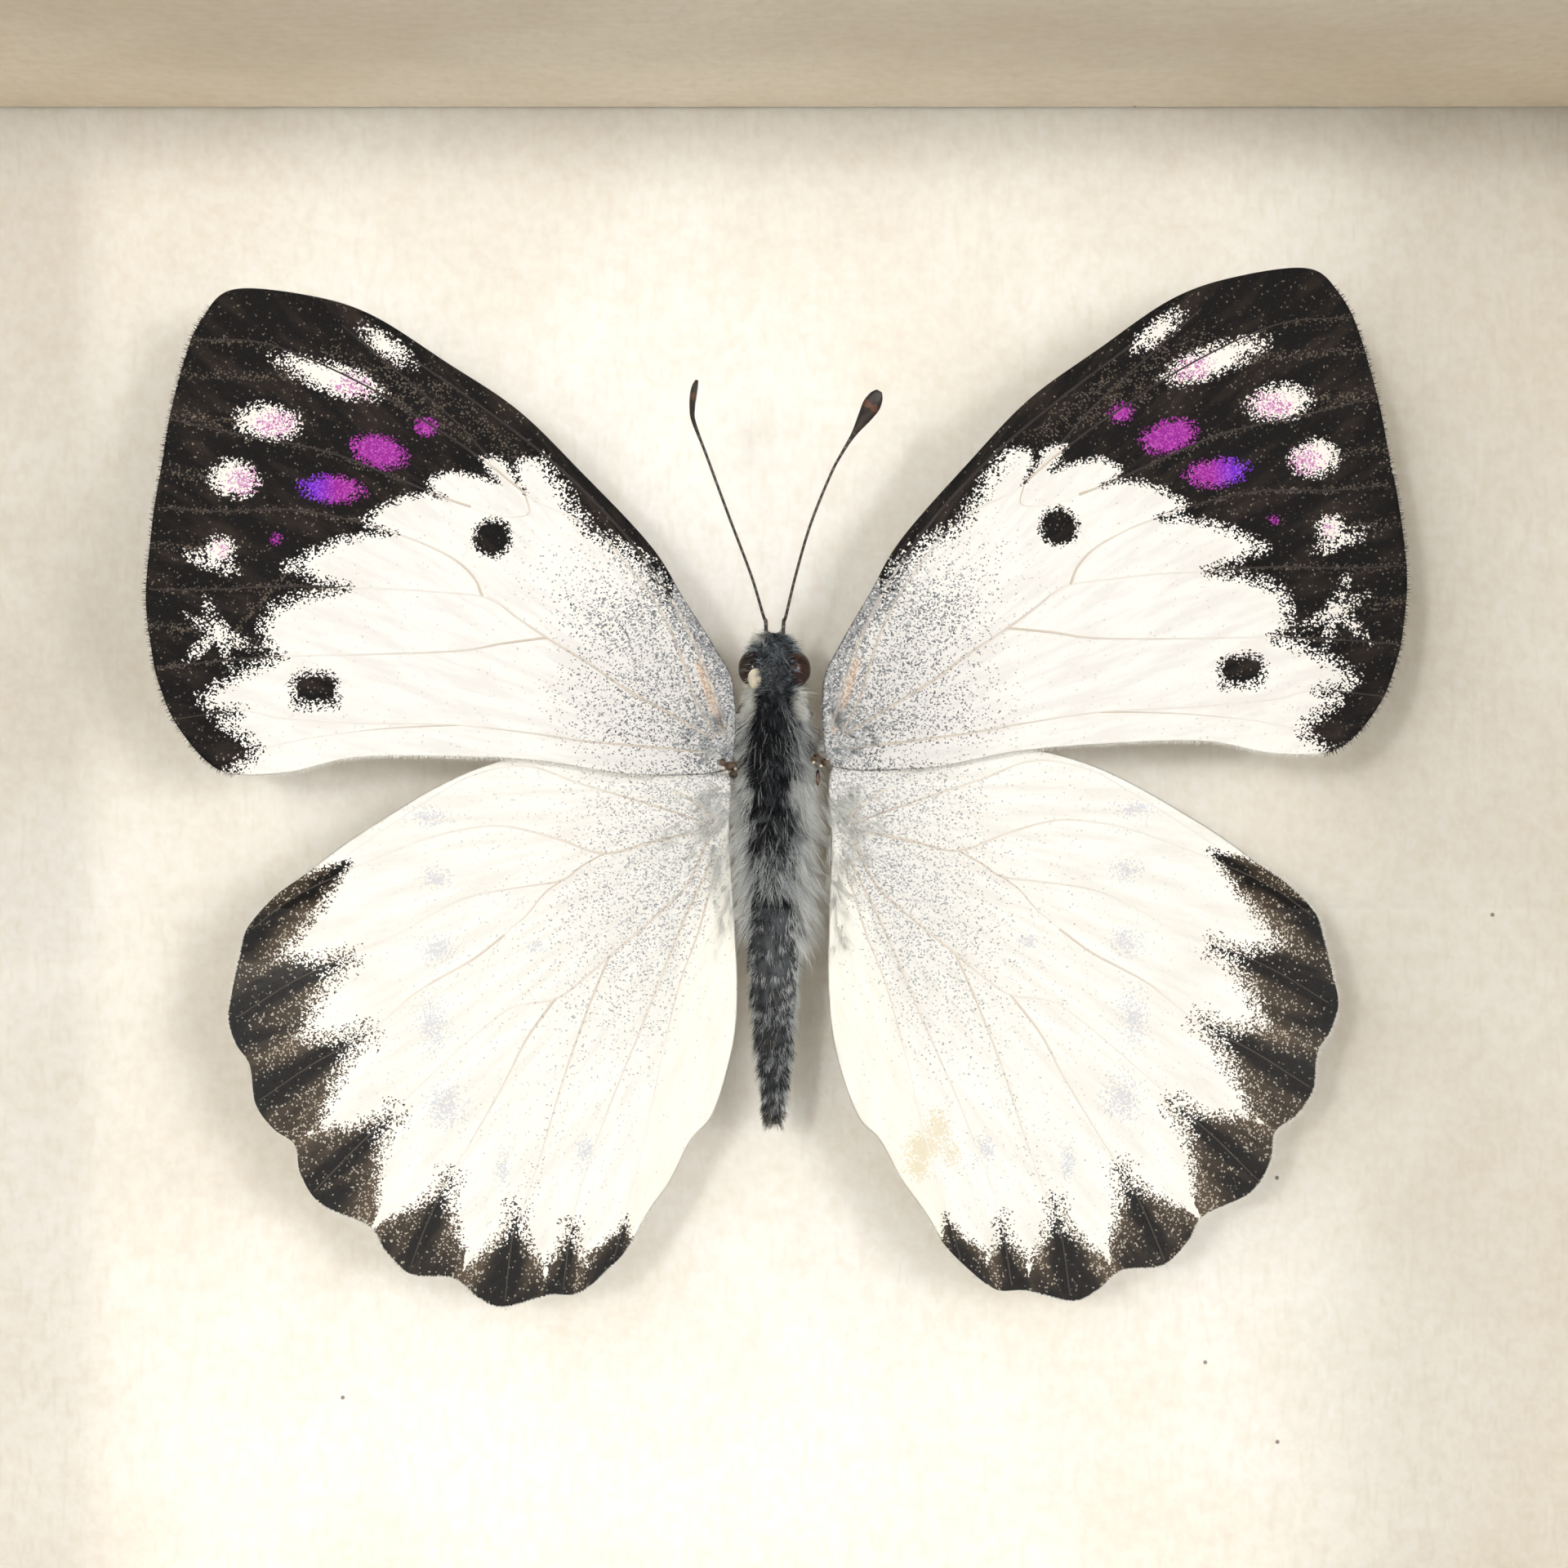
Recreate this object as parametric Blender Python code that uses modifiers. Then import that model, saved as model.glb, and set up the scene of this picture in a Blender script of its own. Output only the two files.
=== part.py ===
"""A framed butterfly specimen: a deep wooden box frame with a set butterfly behind glass.

Metres, +Z up. The frame stands on its lower edge with the glass towards -Y, and the origin is in
the middle of its footprint. Names ending in _MM hold millimetres and are scaled where they are used.
"""

import math

import bpy
import numpy as np
from mathutils import Matrix, Vector

MM = 0.001

# Frame: a square of four mitred rails
SIGHT = 0.090
RAIL_WIDTH = 0.0175
LIP = 0.006
LIP_DEPTH = 0.0045
RAIL_DEPTH = 0.041
MITRE_GAP = 0.00005
GAP = 0.0003

# Layers behind the lip, from the front
GLASS_THICKNESS = 0.002
LINER_DEPTH = 0.0269
PANEL_THICKNESS = 0.003
BACKING_THICKNESS = 0.0025
COVER_THICKNESS = 0.0003
COVER_OVERLAP = 0.0035

# Hanger on the back of the top rail
HANGER_WIDTH = 0.034
HANGER_HEIGHT = 0.0066
HANGER_THICKNESS = 0.0008
HANGER_EDGE = 0.0011
HANGER_TEETH = 9
TOOTH_DEPTH = 0.0009
SCREW_SPACING = 0.027
SCREW_RADIUS = 0.0009
SCREW_HEAD_RADIUS = 0.0018
SCREW_HEAD_HEIGHT = 0.0008
SCREW_LENGTH = 0.007
SCREW_CLEARANCE = 0.0003

# Specimen: heights are measured from the bottom of the frame, lifts from the panel to the viewer
ROOT_HEIGHT = 0.073
FOREWING_LIFT = 0.0070
HINDWING_LIFT = 0.00655
BODY_LIFT = 0.0060
BODY_DROOP = 0.045
WING_THICKNESS = 0.00025
FOREWING_RISE = 0.05
HINDWING_RISE = 0.04
PIN_RADIUS = 0.00022
PIN_CLEARANCE = 0.0001
PIN_HEIGHT_MM = -1.7
PIN_INTO_PANEL = 0.0015
PIN_INTO_BODY = 0.0010
LEG_RADIUS = 0.00013

OUTER = SIGHT + 2 * RAIL_WIDTH
REBATE = SIGHT + 2 * LIP
LAYER = REBATE - 2 * GAP
MIDDLE = OUTER / 2
HANGER_BACK = RAIL_DEPTH + GAP + HANGER_THICKNESS + SCREW_HEAD_HEIGHT
FRONT_Y = -HANGER_BACK / 2
GLASS_Y = FRONT_Y + LIP_DEPTH + GAP
LINER_Y = GLASS_Y + GLASS_THICKNESS + GAP
PANEL_Y = LINER_Y + LINER_DEPTH + GAP
BACKING_Y = PANEL_Y + PANEL_THICKNESS + GAP
RAIL_BACK_Y = FRONT_Y + RAIL_DEPTH

for old in list(bpy.data.objects):
    bpy.data.objects.remove(old)
SPECIMEN = bpy.data.collections.new("framed_butterfly_specimen")
CUTTERS = bpy.data.collections.new("cutters")
for made in (SPECIMEN, CUTTERS):
    bpy.context.scene.collection.children.link(made)


def material(name, colour, roughness, metallic=0.0, alpha=1.0):
    """A Principled material with a flat colour."""
    made = bpy.data.materials.new(name)
    made.use_nodes = True
    shader = made.node_tree.nodes["Principled BSDF"]
    shader.inputs["Base Color"].default_value = (*colour, 1.0)
    shader.inputs["Roughness"].default_value = roughness
    shader.inputs["Metallic"].default_value = metallic
    shader.inputs["Alpha"].default_value = alpha
    made.diffuse_color = (*colour, alpha)
    return made


def add(name, data, surface, collection=SPECIMEN):
    """An object for a mesh or curve, in its collection and with its material."""
    obj = bpy.data.objects.new(name, data)
    collection.objects.link(obj)
    if surface:
        data.materials.append(surface)
    return obj


def block(name, size, centre, surface):
    """A rectangular piece from a cube primitive."""
    bpy.ops.mesh.primitive_cube_add(size=1.0, location=centre)
    obj = bpy.context.object
    obj.name = name
    obj.data.transform(Matrix.Diagonal((*size, 1.0)))
    for home in list(obj.users_collection):
        home.objects.unlink(obj)
    SPECIMEN.objects.link(obj)
    obj.data.materials.append(surface)
    return obj


def flat_outline(name, splines, thickness, surface):
    """A flat piece from closed outlines in its own XY plane, as thick as given along Z."""
    curve = bpy.data.curves.new(name, "CURVE")
    curve.dimensions = "2D"
    curve.fill_mode = "BOTH"
    curve.extrude = thickness / 2
    for points in splines:
        spline = curve.splines.new("POLY")
        spline.points.add(len(points) - 1)
        for point, (x, y) in zip(spline.points, points):
            point.co = (x, y, 0.0, 1.0)
        spline.use_cyclic_u = True
    return add(name, curve, surface)


def as_mesh(obj, merge=1e-7):
    """The same piece as a mesh, its caps welded to its sides."""
    bpy.context.view_layer.update()
    evaluated = obj.evaluated_get(bpy.context.evaluated_depsgraph_get())
    mesh = bpy.data.meshes.new_from_object(evaluated)
    placed = obj.matrix_world.copy()
    name, surface = obj.name, obj.active_material
    bpy.data.objects.remove(obj)
    mesh.materials.clear()
    made = add(name, mesh, surface)
    made.name = name
    made.matrix_world = placed
    weld = made.modifiers.new("weld_caps", "WELD")
    weld.merge_threshold = merge
    return made


def circle(centre_x, centre_y, radius, sides=16):
    """The corners of a regular polygon about a centre."""
    turns = [2 * math.pi * k / sides for k in range(sides)]
    return [(centre_x + radius * math.cos(a), centre_y + radius * math.sin(a)) for a in turns]


def rod(name, radius, start, end, surface, collection=SPECIMEN, sides=16):
    """A straight round piece between two points."""
    start, end = Vector(start), Vector(end)
    bpy.ops.mesh.primitive_cylinder_add(vertices=sides, radius=radius, depth=(end - start).length)
    obj = bpy.context.object
    obj.name = name
    obj.location = (start + end) / 2
    obj.rotation_euler = (end - start).to_track_quat("Z", "Y").to_euler()
    for home in list(obj.users_collection):
        home.objects.unlink(obj)
    collection.objects.link(obj)
    if surface:
        obj.data.materials.append(surface)
    return obj


def cut(obj, cutter):
    """Cuts a piece by a cutter that stays hidden."""
    cutter.hide_render = True
    cutter.display_type = "WIRE"
    boolean = obj.modifiers.new("cut_" + cutter.name, "BOOLEAN")
    boolean.operation = "DIFFERENCE"
    boolean.object = cutter


def smooth_outline(points, steps):
    """A closed curve through all the points, as a Catmull-Rom spline."""
    p = np.array(points, float)
    t = np.linspace(0.0, 1.0, steps, endpoint=False)[None, :, None]
    before, start, end, after = (np.roll(p, shift, 0)[:, None] for shift in (1, 0, -1, -2))
    curve = 2 * start + (end - before) * t
    curve = curve + (2 * before - 5 * start + 4 * end - after) * t**2
    curve = curve + (3 * start - before - 3 * end + after) * t**3
    return (curve / 2).reshape(-1, 2)


def smooth_route(points, steps):
    """An open curve through all the points, as a Catmull-Rom spline."""
    p = np.array(points, float)
    p = np.vstack([2 * p[0] - p[1], p, 2 * p[-1] - p[-2]])
    t = np.linspace(0.0, 1.0, steps, endpoint=False)[None, :, None]
    before, start, end, after = (p[k : len(p) - 3 + k, None] for k in range(4))
    curve = 2 * start + (end - before) * t
    curve = curve + (2 * before - 5 * start + 4 * end - after) * t**2
    curve = curve + (3 * start - before - 3 * end + after) * t**3
    return np.vstack([(curve / 2).reshape(-1, p.shape[1]), p[-2]])


def loft(name, rings, sides, surface):
    """A closed body through level elliptical rings.

    Each ring is (x, lift, height, half width, half depth) in millimetres. The rings run downwards,
    and each end closes on a point in the middle of its last ring.
    """
    rings = np.array(rings, float) * MM
    turns = np.linspace(0.0, 2 * math.pi, sides, endpoint=False)
    x = rings[:, :1] + rings[:, 3:4] * np.cos(turns)
    y = -rings[:, 1:2] + rings[:, 4:5] * np.sin(turns)
    z = np.repeat(rings[:, 2:3], sides, axis=1)
    ends = rings[[0, -1]][:, [0, 1, 2]] * (1, -1, 1)
    points = np.vstack([np.stack([x, y, z], 2).reshape(-1, 3), ends])
    here = np.arange(sides)
    after = np.roll(here, -1)
    faces = []
    for row in range(len(rings) - 1):
        top, low = row * sides, (row + 1) * sides
        faces += np.stack([top + here, low + here, low + after, top + after], 1).tolist()
    last = (len(rings) - 1) * sides
    crown, foot = len(points) - 2, len(points) - 1
    faces += [[crown, a, b] for a, b in zip(here.tolist(), after.tolist())]
    faces += [[foot, last + b, last + a] for a, b in zip(here.tolist(), after.tolist())]
    mesh = bpy.data.meshes.new(name)
    mesh.from_pydata(points.tolist(), [], faces)
    mesh.shade_smooth()
    obj = add(name, mesh, surface)
    obj.location = (0.0, PANEL_Y, ROOT_HEIGHT)
    return obj


WOOD = material("stained_wood", (0.16, 0.075, 0.035), 0.45)
GLASS = material("clear_glass", (0.95, 0.97, 0.97), 0.05, alpha=0.25)
PAPER = material("cream_paper", (0.88, 0.84, 0.76), 0.9)
BOARD = material("brown_board", (0.32, 0.21, 0.12), 0.85)
KRAFT = material("kraft_paper", (0.45, 0.31, 0.18), 0.9)
STEEL = material("plated_steel", (0.62, 0.60, 0.56), 0.35, metallic=1.0)
FOREWING = material("forewing_scales", (0.90, 0.90, 0.88), 0.85)
HINDWING = material("hindwing_scales", (0.92, 0.89, 0.82), 0.85)
HAIR = material("body_hair", (0.07, 0.08, 0.09), 0.9)
HORN = material("dark_horn", (0.03, 0.02, 0.015), 0.45)

# Rails: one moulding section, mitred at both ends and turned about the middle of the frame.
# The section is (distance in from the outer side, depth from the front).
RAIL_SECTION_MM = [
    (0.0, 1.5), (0.45, 0.45), (1.5, 0.0), (10.0, 0.0), (10.8, 0.3), (11.3, 0.9), (12.2, 1.5),
    (14.0, 1.9), (16.3, 2.1), (17.2, 2.4),
]


def rail(name, quarter_turns):
    """One side of the frame; no turn is the bottom one."""
    section = [(u * MM, v * MM) for u, v in RAIL_SECTION_MM]
    section += [(RAIL_WIDTH, LIP_DEPTH * 0.65), (RAIL_WIDTH, LIP_DEPTH)]
    section += [(RAIL_WIDTH - LIP, LIP_DEPTH), (RAIL_WIDTH - LIP, RAIL_DEPTH), (0.0, RAIL_DEPTH)]
    obj = as_mesh(flat_outline(name, [section], OUTER, WOOD))
    for vertex in obj.data.vertices:
        reach = OUTER / 2 - MITRE_GAP - vertex.co.x
        vertex.co.z = math.copysign(reach, vertex.co.z)
    lying = Matrix(((0, 0, -1, 0), (0, 1, 0, FRONT_Y), (1, 0, 0, -MIDDLE), (0, 0, 0, 1)))
    turned = Matrix.Rotation(quarter_turns * math.pi / 2, 4, "Y")
    obj.matrix_world = Matrix.Translation((0.0, 0.0, MIDDLE)) @ turned @ lying
    return obj


rail("rail_bottom", 0)
rail("rail_left", 1)
rail_top = rail("rail_top", 2)
rail("rail_right", 3)

# Glass, panel and backing fill the rebate behind the lip, one behind the other
block("glass_pane", (LAYER, GLASS_THICKNESS, LAYER), (0, GLASS_Y + GLASS_THICKNESS / 2, MIDDLE), GLASS)
panel = block(
    "mount_panel", (LAYER, PANEL_THICKNESS, LAYER), (0, PANEL_Y + PANEL_THICKNESS / 2, MIDDLE), PAPER
)
block(
    "backing_board",
    (LAYER, BACKING_THICKNESS, LAYER),
    (0, BACKING_Y + BACKING_THICKNESS / 2, MIDDLE),
    BOARD,
)

# Liners: two long strips above and below, two short ones between them, flush with the lip
LINER_THICKNESS = (LAYER - SIGHT) / 2
LINER_MIDDLE = (LAYER + SIGHT) / 4
LINER_CENTRE_Y = LINER_Y + LINER_DEPTH / 2
for name, side in (("liner_top", 1), ("liner_bottom", -1)):
    block(
        name,
        (LAYER, LINER_DEPTH, LINER_THICKNESS),
        (0, LINER_CENTRE_Y, MIDDLE + side * LINER_MIDDLE),
        PAPER,
    )
for name, side in (("liner_right", 1), ("liner_left", -1)):
    block(
        name,
        (LINER_THICKNESS, LINER_DEPTH, SIGHT - 2 * GAP),
        (side * LINER_MIDDLE, LINER_CENTRE_Y, MIDDLE),
        PAPER,
    )

# Paper cover glued over the back of the rails
COVER_SIZE = REBATE + 2 * COVER_OVERLAP
block(
    "dust_cover",
    (COVER_SIZE, COVER_THICKNESS, COVER_SIZE),
    (0, RAIL_BACK_Y + GAP + COVER_THICKNESS / 2, MIDDLE),
    KRAFT,
)

# Hanger: a stamped plate with a row of teeth along its lower edge
HANGER_HEIGHT_AT = OUTER - HANGER_EDGE - HANGER_HEIGHT / 2
TOOTH_ROW = SCREW_SPACING - 4 * SCREW_HEAD_RADIUS


def hanger_outline():
    """The plate's outline: bevelled corners above and a toothed edge below."""
    half, low, corner = HANGER_WIDTH / 2, -HANGER_HEIGHT / 2, HANGER_HEIGHT / 4
    points = [(half, low), (half, -low - corner), (half - corner, -low)]
    points += [(corner - half, -low), (-half, -low - corner), (-half, low)]
    for k in range(2 * HANGER_TEETH + 1):
        x = TOOTH_ROW * (k / (2 * HANGER_TEETH) - 0.5)
        points.append((x, low + TOOTH_DEPTH * (k % 2 == 0)))
    return points


holes = [circle(side * SCREW_SPACING / 2, 0.0, SCREW_RADIUS + SCREW_CLEARANCE) for side in (-1, 1)]
hanger = flat_outline("hanger_plate", [hanger_outline(), *holes], HANGER_THICKNESS, STEEL)
hanger.location = (0, RAIL_BACK_Y + GAP + HANGER_THICKNESS / 2, HANGER_HEIGHT_AT)
hanger.rotation_euler = (math.pi / 2, 0, 0)
as_mesh(hanger)


def screw(name, x):
    """A pan-head screw through the plate, turned about its own axis."""
    grip = HANGER_THICKNESS + GAP / 2
    profile = [
        (0.0, SCREW_HEAD_HEIGHT),
        (SCREW_HEAD_RADIUS * 0.75, SCREW_HEAD_HEIGHT * 0.85),
        (SCREW_HEAD_RADIUS, SCREW_HEAD_HEIGHT * 0.3),
        (SCREW_HEAD_RADIUS, GAP / 2),
        (SCREW_RADIUS, GAP / 2),
        (SCREW_RADIUS, grip - SCREW_LENGTH),
        (0.0, -SCREW_LENGTH),
    ]
    mesh = bpy.data.meshes.new(name)
    edges = [(k, k + 1) for k in range(len(profile) - 1)]
    mesh.from_pydata([(r, 0.0, z) for r, z in profile], edges, [])
    obj = add(name, mesh, STEEL)
    turn = obj.modifiers.new("turn", "SCREW")
    turn.steps = turn.render_steps = 16
    turn.use_merge_vertices = True
    turn.merge_threshold = 1e-6
    obj.location = (x, RAIL_BACK_Y + GAP + HANGER_THICKNESS, HANGER_HEIGHT_AT)
    obj.rotation_euler = (-math.pi / 2, 0, 0)
    return obj


for name, side in (("hanger_screw_left", -1), ("hanger_screw_right", 1)):
    at = side * SCREW_SPACING / 2
    screw(name, at)
    hole_start = (at, RAIL_BACK_Y + GAP, HANGER_HEIGHT_AT)
    hole_end = (at, RAIL_BACK_Y - SCREW_LENGTH, HANGER_HEIGHT_AT)
    hole_radius = SCREW_RADIUS + SCREW_CLEARANCE
    cut(rail_top, rod(name + "_hole", hole_radius, hole_start, hole_end, None, CUTTERS))

# Wings. An outline is (distance from the body's axis, height from the wing roots) of one wing,
# and its pair is the mirror image. The right pair is set a little higher and further out.
FOREWING_OUTLINE_MM = [
    (2.1, 3.3), (3.0, 5.2), (4.7, 7.9), (6.4, 10.6), (10.0, 14.4), (13.2, 17.5), (16.8, 19.9),
    (20.8, 22.4), (24.3, 23.4), (27.8, 23.6), (29.3, 22.2), (30.2, 20.2), (31.0, 17.0),
    (31.5, 14.0), (31.9, 11.4), (32.2, 7.8), (31.9, 5.0), (31.5, 3.3), (30.7, 1.4), (29.2, -0.5),
    (27.7, -1.25), (24.9, -1.15), (21.5, -0.4), (16.4, -0.35), (12.1, -0.55), (7.8, -1.2),
    (5.0, -1.25), (3.0, -1.1), (2.1, -0.4),
]
HINDWING_OUTLINE_MM = [
    (2.3, -1.2), (3.6, 0.2), (7.1, 0.6), (11.0, 0.2), (14.6, -0.65), (17.4, -1.85), (20.3, -3.6),
    (22.4, -5.0), (24.2, -6.4), (25.7, -7.5), (27.1, -9.1), (27.5, -10.4), (27.9, -12.35),
    (28.1, -13.8), (27.7, -15.1), (27.0, -16.2), (26.7, -18.15), (25.8, -19.45), (24.7, -20.3),
    (24.4, -21.8), (23.3, -23.4), (20.9, -24.5), (20.05, -25.8), (18.7, -27.0), (16.6, -27.2),
    (15.3, -28.2), (14.0, -28.7), (11.6, -28.1), (10.1, -28.0), (8.8, -27.0), (7.5, -25.6),
    (6.6, -24.0), (5.4, -22.25), (4.3, -20.1), (3.2, -18.8), (2.2, -15.6), (1.9, -12.35),
    (2.1, -8.0), (2.3, -4.5),
]
WING_HINGE_MM = np.array((2.2, 0.85))
SET_RIGHT_FORE = (0.036, (0.50, 0.15))
SET_RIGHT_HIND = (0.030, (0.50, -0.05))
SET_LEFT = (0.0, (0.0, 0.0))


def wing(name, outline, side, setting, lift, rise, surface, steps=3):
    """One wing: a thin plate whose tip rises towards the viewer by rise for each unit of reach."""
    turn, shift = setting
    turned = np.array(((math.cos(turn), math.sin(turn)), (-math.sin(turn), math.cos(turn))))
    points = (smooth_outline(outline, steps) - WING_HINGE_MM) @ turned + WING_HINGE_MM + shift
    points = (points * (side * MM, MM)).tolist()
    obj = as_mesh(flat_outline(name, [points], WING_THICKNESS, surface))
    tilted = Matrix.Rotation(-side * rise, 4, "Z") @ Matrix.Rotation(math.pi / 2, 4, "X")
    obj.matrix_world = Matrix.Translation((0.0, PANEL_Y - lift, ROOT_HEIGHT)) @ tilted
    return obj


for side, word, fore_set, hind_set in (
    (-1, "left", SET_LEFT, SET_LEFT),
    (1, "right", SET_RIGHT_FORE, SET_RIGHT_HIND),
):
    fore, hind = FOREWING_OUTLINE_MM, HINDWING_OUTLINE_MM
    wing("forewing_" + word, fore, side, fore_set, FOREWING_LIFT, FOREWING_RISE, FOREWING)
    wing("hindwing_" + word, hind, side, hind_set, HINDWING_LIFT, HINDWING_RISE, HINDWING)

# Body, from the crown of the head to the tip of the abdomen, out to the ends of its hair:
# (height from the wing roots, half width, half depth)
BODY_SECTIONS_MM = [
    (6.15, 0.35, 0.4), (5.9, 0.75, 0.8), (5.3, 1.2, 1.3), (4.3, 1.4, 1.5), (3.4, 1.3, 1.4),
    (2.7, 1.25, 1.4), (2.1, 1.6, 1.7), (0.85, 1.95, 2.1), (-0.85, 2.1, 2.3), (-2.5, 2.15, 2.35),
    (-4.2, 2.1, 2.3), (-5.9, 2.0, 2.1), (-7.15, 1.85, 1.9), (-8.9, 1.65, 1.7), (-10.15, 1.55, 1.6),
    (-11.7, 1.4, 1.5), (-14.2, 1.15, 1.3), (-15.65, 0.95, 1.1), (-16.9, 0.75, 0.9),
    (-18.2, 0.55, 0.65), (-19.1, 0.4, 0.45), (-19.4, 0.2, 0.25),
]
EYE_AT_MM = (1.05, 4.3)
EYE_SIZE_MM = (0.82, 0.95, 1.0)
PALP_AT_MM = (0.42, 6.1)
PALP_SIZE_MM = (0.22, 0.3, 0.5)


def body_lift(height):
    """How far the body's axis lies from the panel at a height, in millimetres."""
    return BODY_LIFT / MM + BODY_DROOP * height


def bead(name, x, lift, height, radii):
    """A rounded lump that is joined to the body."""
    bpy.ops.mesh.primitive_uv_sphere_add(segments=14, ring_count=9, radius=MM)
    obj = bpy.context.object
    obj.name = name
    obj.data.transform(Matrix.Diagonal((*radii, 1.0)))
    obj.location = (x * MM, PANEL_Y - lift * MM, ROOT_HEIGHT + height * MM)
    for home in list(obj.users_collection):
        home.objects.unlink(obj)
    CUTTERS.objects.link(obj)
    obj.hide_render = True
    obj.display_type = "WIRE"
    return obj


rings = [(0.0, body_lift(z), z, w, d) for z, w, d in BODY_SECTIONS_MM]
body = loft("body", rings, 18, HAIR)
for side, word in ((-1, "left"), (1, "right")):
    for kind, (x, z), radii in (
        ("eye_", EYE_AT_MM, EYE_SIZE_MM),
        ("palp_", PALP_AT_MM, PALP_SIZE_MM),
    ):
        join = body.modifiers.new("join_" + kind + word, "BOOLEAN")
        join.operation = "UNION"
        join.object = bead(kind + word + "_form", side * x, body_lift(z), z, radii)

# Pin: stands in a hole in the panel and ends in a hole in the underside of the thorax
pin_z = ROOT_HEIGHT + PIN_HEIGHT_MM * MM
under_body = body_lift(PIN_HEIGHT_MM) * MM - 0.0023
pin_foot = (0, PANEL_Y + PIN_INTO_PANEL, pin_z)
pin_end = (0, PANEL_Y - under_body - PIN_INTO_BODY, pin_z)
rod("specimen_pin", PIN_RADIUS, pin_foot, pin_end, STEEL, sides=12)
pin_hole = rod(
    "pin_hole",
    PIN_RADIUS + PIN_CLEARANCE,
    (0, pin_foot[1] + PIN_CLEARANCE, pin_z),
    (0, pin_end[1] - PIN_CLEARANCE, pin_z),
    None,
    CUTTERS,
    sides=12,
)
cut(panel, pin_hole)
cut(body, pin_hole)

# Antennae, from the club down to the head: (x, lift, height, half width, half depth).
# The left club shows its edge and the right one its flat side.
LEFT_ANTENNA_MM = [
    (-3.93, 9.9, 18.75, 0.08, 0.12), (-4.03, 9.8, 18.45, 0.16, 0.36), (-4.12, 9.7, 18.0, 0.18, 0.42),
    (-4.17, 9.6, 17.4, 0.15, 0.32), (-4.1, 9.4, 16.7, 0.11, 0.16), (-3.45, 9.0, 15.0, 0.09, 0.09),
    (-2.33, 8.3, 12.0, 0.09, 0.09), (-1.18, 7.5, 9.0, 0.09, 0.09), (-0.55, 6.9, 6.95, 0.1, 0.1),
    (-0.44, 6.6, 6.75, 0.12, 0.12),
]
RIGHT_ANTENNA_MM = [
    (5.35, 9.9, 18.2, 0.16, 0.08), (5.2, 9.8, 17.95, 0.36, 0.16), (4.95, 9.7, 17.5, 0.46, 0.18),
    (4.62, 9.5, 16.95, 0.36, 0.16), (4.1, 9.3, 16.15, 0.16, 0.12), (3.5, 9.1, 15.2, 0.1, 0.1),
    (2.9, 8.8, 14.1, 0.09, 0.09), (1.87, 8.2, 11.6, 0.09, 0.09), (1.1, 7.5, 9.0, 0.09, 0.09),
    (0.6, 6.9, 6.95, 0.1, 0.1), (0.5, 6.6, 6.75, 0.12, 0.12),
]
for name, sections in (("antenna_left", LEFT_ANTENNA_MM), ("antenna_right", RIGHT_ANTENNA_MM)):
    route = smooth_route(sections, 2)
    loft(name, route, 8, HORN)

# Legs, folded under the thorax: routes of (x, lift, height), the front pair towards the head
LEG_ROUTES_MM = {
    "leg_front": [(0.6, 3.55, 1.0), (1.4, 3.2, 1.5), (1.9, 3.1, 2.1), (1.1, 2.7, 3.4), (0.6, 2.6, 4.6)],
    "leg_middle": [(0.8, 3.35, -0.9), (1.7, 3.0, -0.5), (2.2, 2.8, -0.9), (1.8, 2.3, -3.0), (1.6, 2.0, -5.2)],
    "leg_hind": [(0.7, 3.25, -2.9), (1.3, 3.0, -3.6), (1.5, 2.9, -4.8), (1.0, 2.7, -7.2), (0.7, 2.6, -9.4)],
}


def leg(name, route, side):
    """One leg: a thin tube along its route."""
    curve = bpy.data.curves.new(name, "CURVE")
    curve.dimensions = "3D"
    curve.bevel_depth = LEG_RADIUS
    curve.bevel_resolution = 1
    curve.use_fill_caps = True
    points = smooth_route(route, 3)
    spline = curve.splines.new("POLY")
    spline.points.add(len(points) - 1)
    for point, (x, lift, z) in zip(spline.points, points.tolist()):
        point.co = (side * x * MM, -lift * MM, z * MM, 1.0)
    obj = add(name, curve, HORN)
    obj.location = (0.0, PANEL_Y, ROOT_HEIGHT)
    return as_mesh(obj)


for name, route in LEG_ROUTES_MM.items():
    leg(name + "_left", route, -1)
    leg(name + "_right", route, 1)
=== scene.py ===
import math

import bpy
import numpy as np
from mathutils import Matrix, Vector


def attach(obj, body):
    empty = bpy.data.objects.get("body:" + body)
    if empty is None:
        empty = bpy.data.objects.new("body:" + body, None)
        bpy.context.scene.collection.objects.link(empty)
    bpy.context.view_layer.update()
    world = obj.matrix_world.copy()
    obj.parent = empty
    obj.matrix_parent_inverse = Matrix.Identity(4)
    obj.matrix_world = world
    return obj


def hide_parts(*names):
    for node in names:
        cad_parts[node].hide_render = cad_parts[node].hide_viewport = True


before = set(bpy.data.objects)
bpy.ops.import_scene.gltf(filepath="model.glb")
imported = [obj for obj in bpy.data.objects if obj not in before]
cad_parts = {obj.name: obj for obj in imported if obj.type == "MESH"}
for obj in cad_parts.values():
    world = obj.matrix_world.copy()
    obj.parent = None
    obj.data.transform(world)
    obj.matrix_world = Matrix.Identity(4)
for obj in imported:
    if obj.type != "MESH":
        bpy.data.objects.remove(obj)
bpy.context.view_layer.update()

# The frame: four rails of stained hardwood moulding, mitred at the corners and glued. The moulding
# has a flat outer face, a hollow falling to a small bead at the sight edge, and a deep rebate.
MM = 0.001
FRAME_SIDE = 125.0
FRAME_MIDDLE = 62.5
FRAME_FRONT = -21.45
MITRE_OPEN = 0.06
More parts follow.
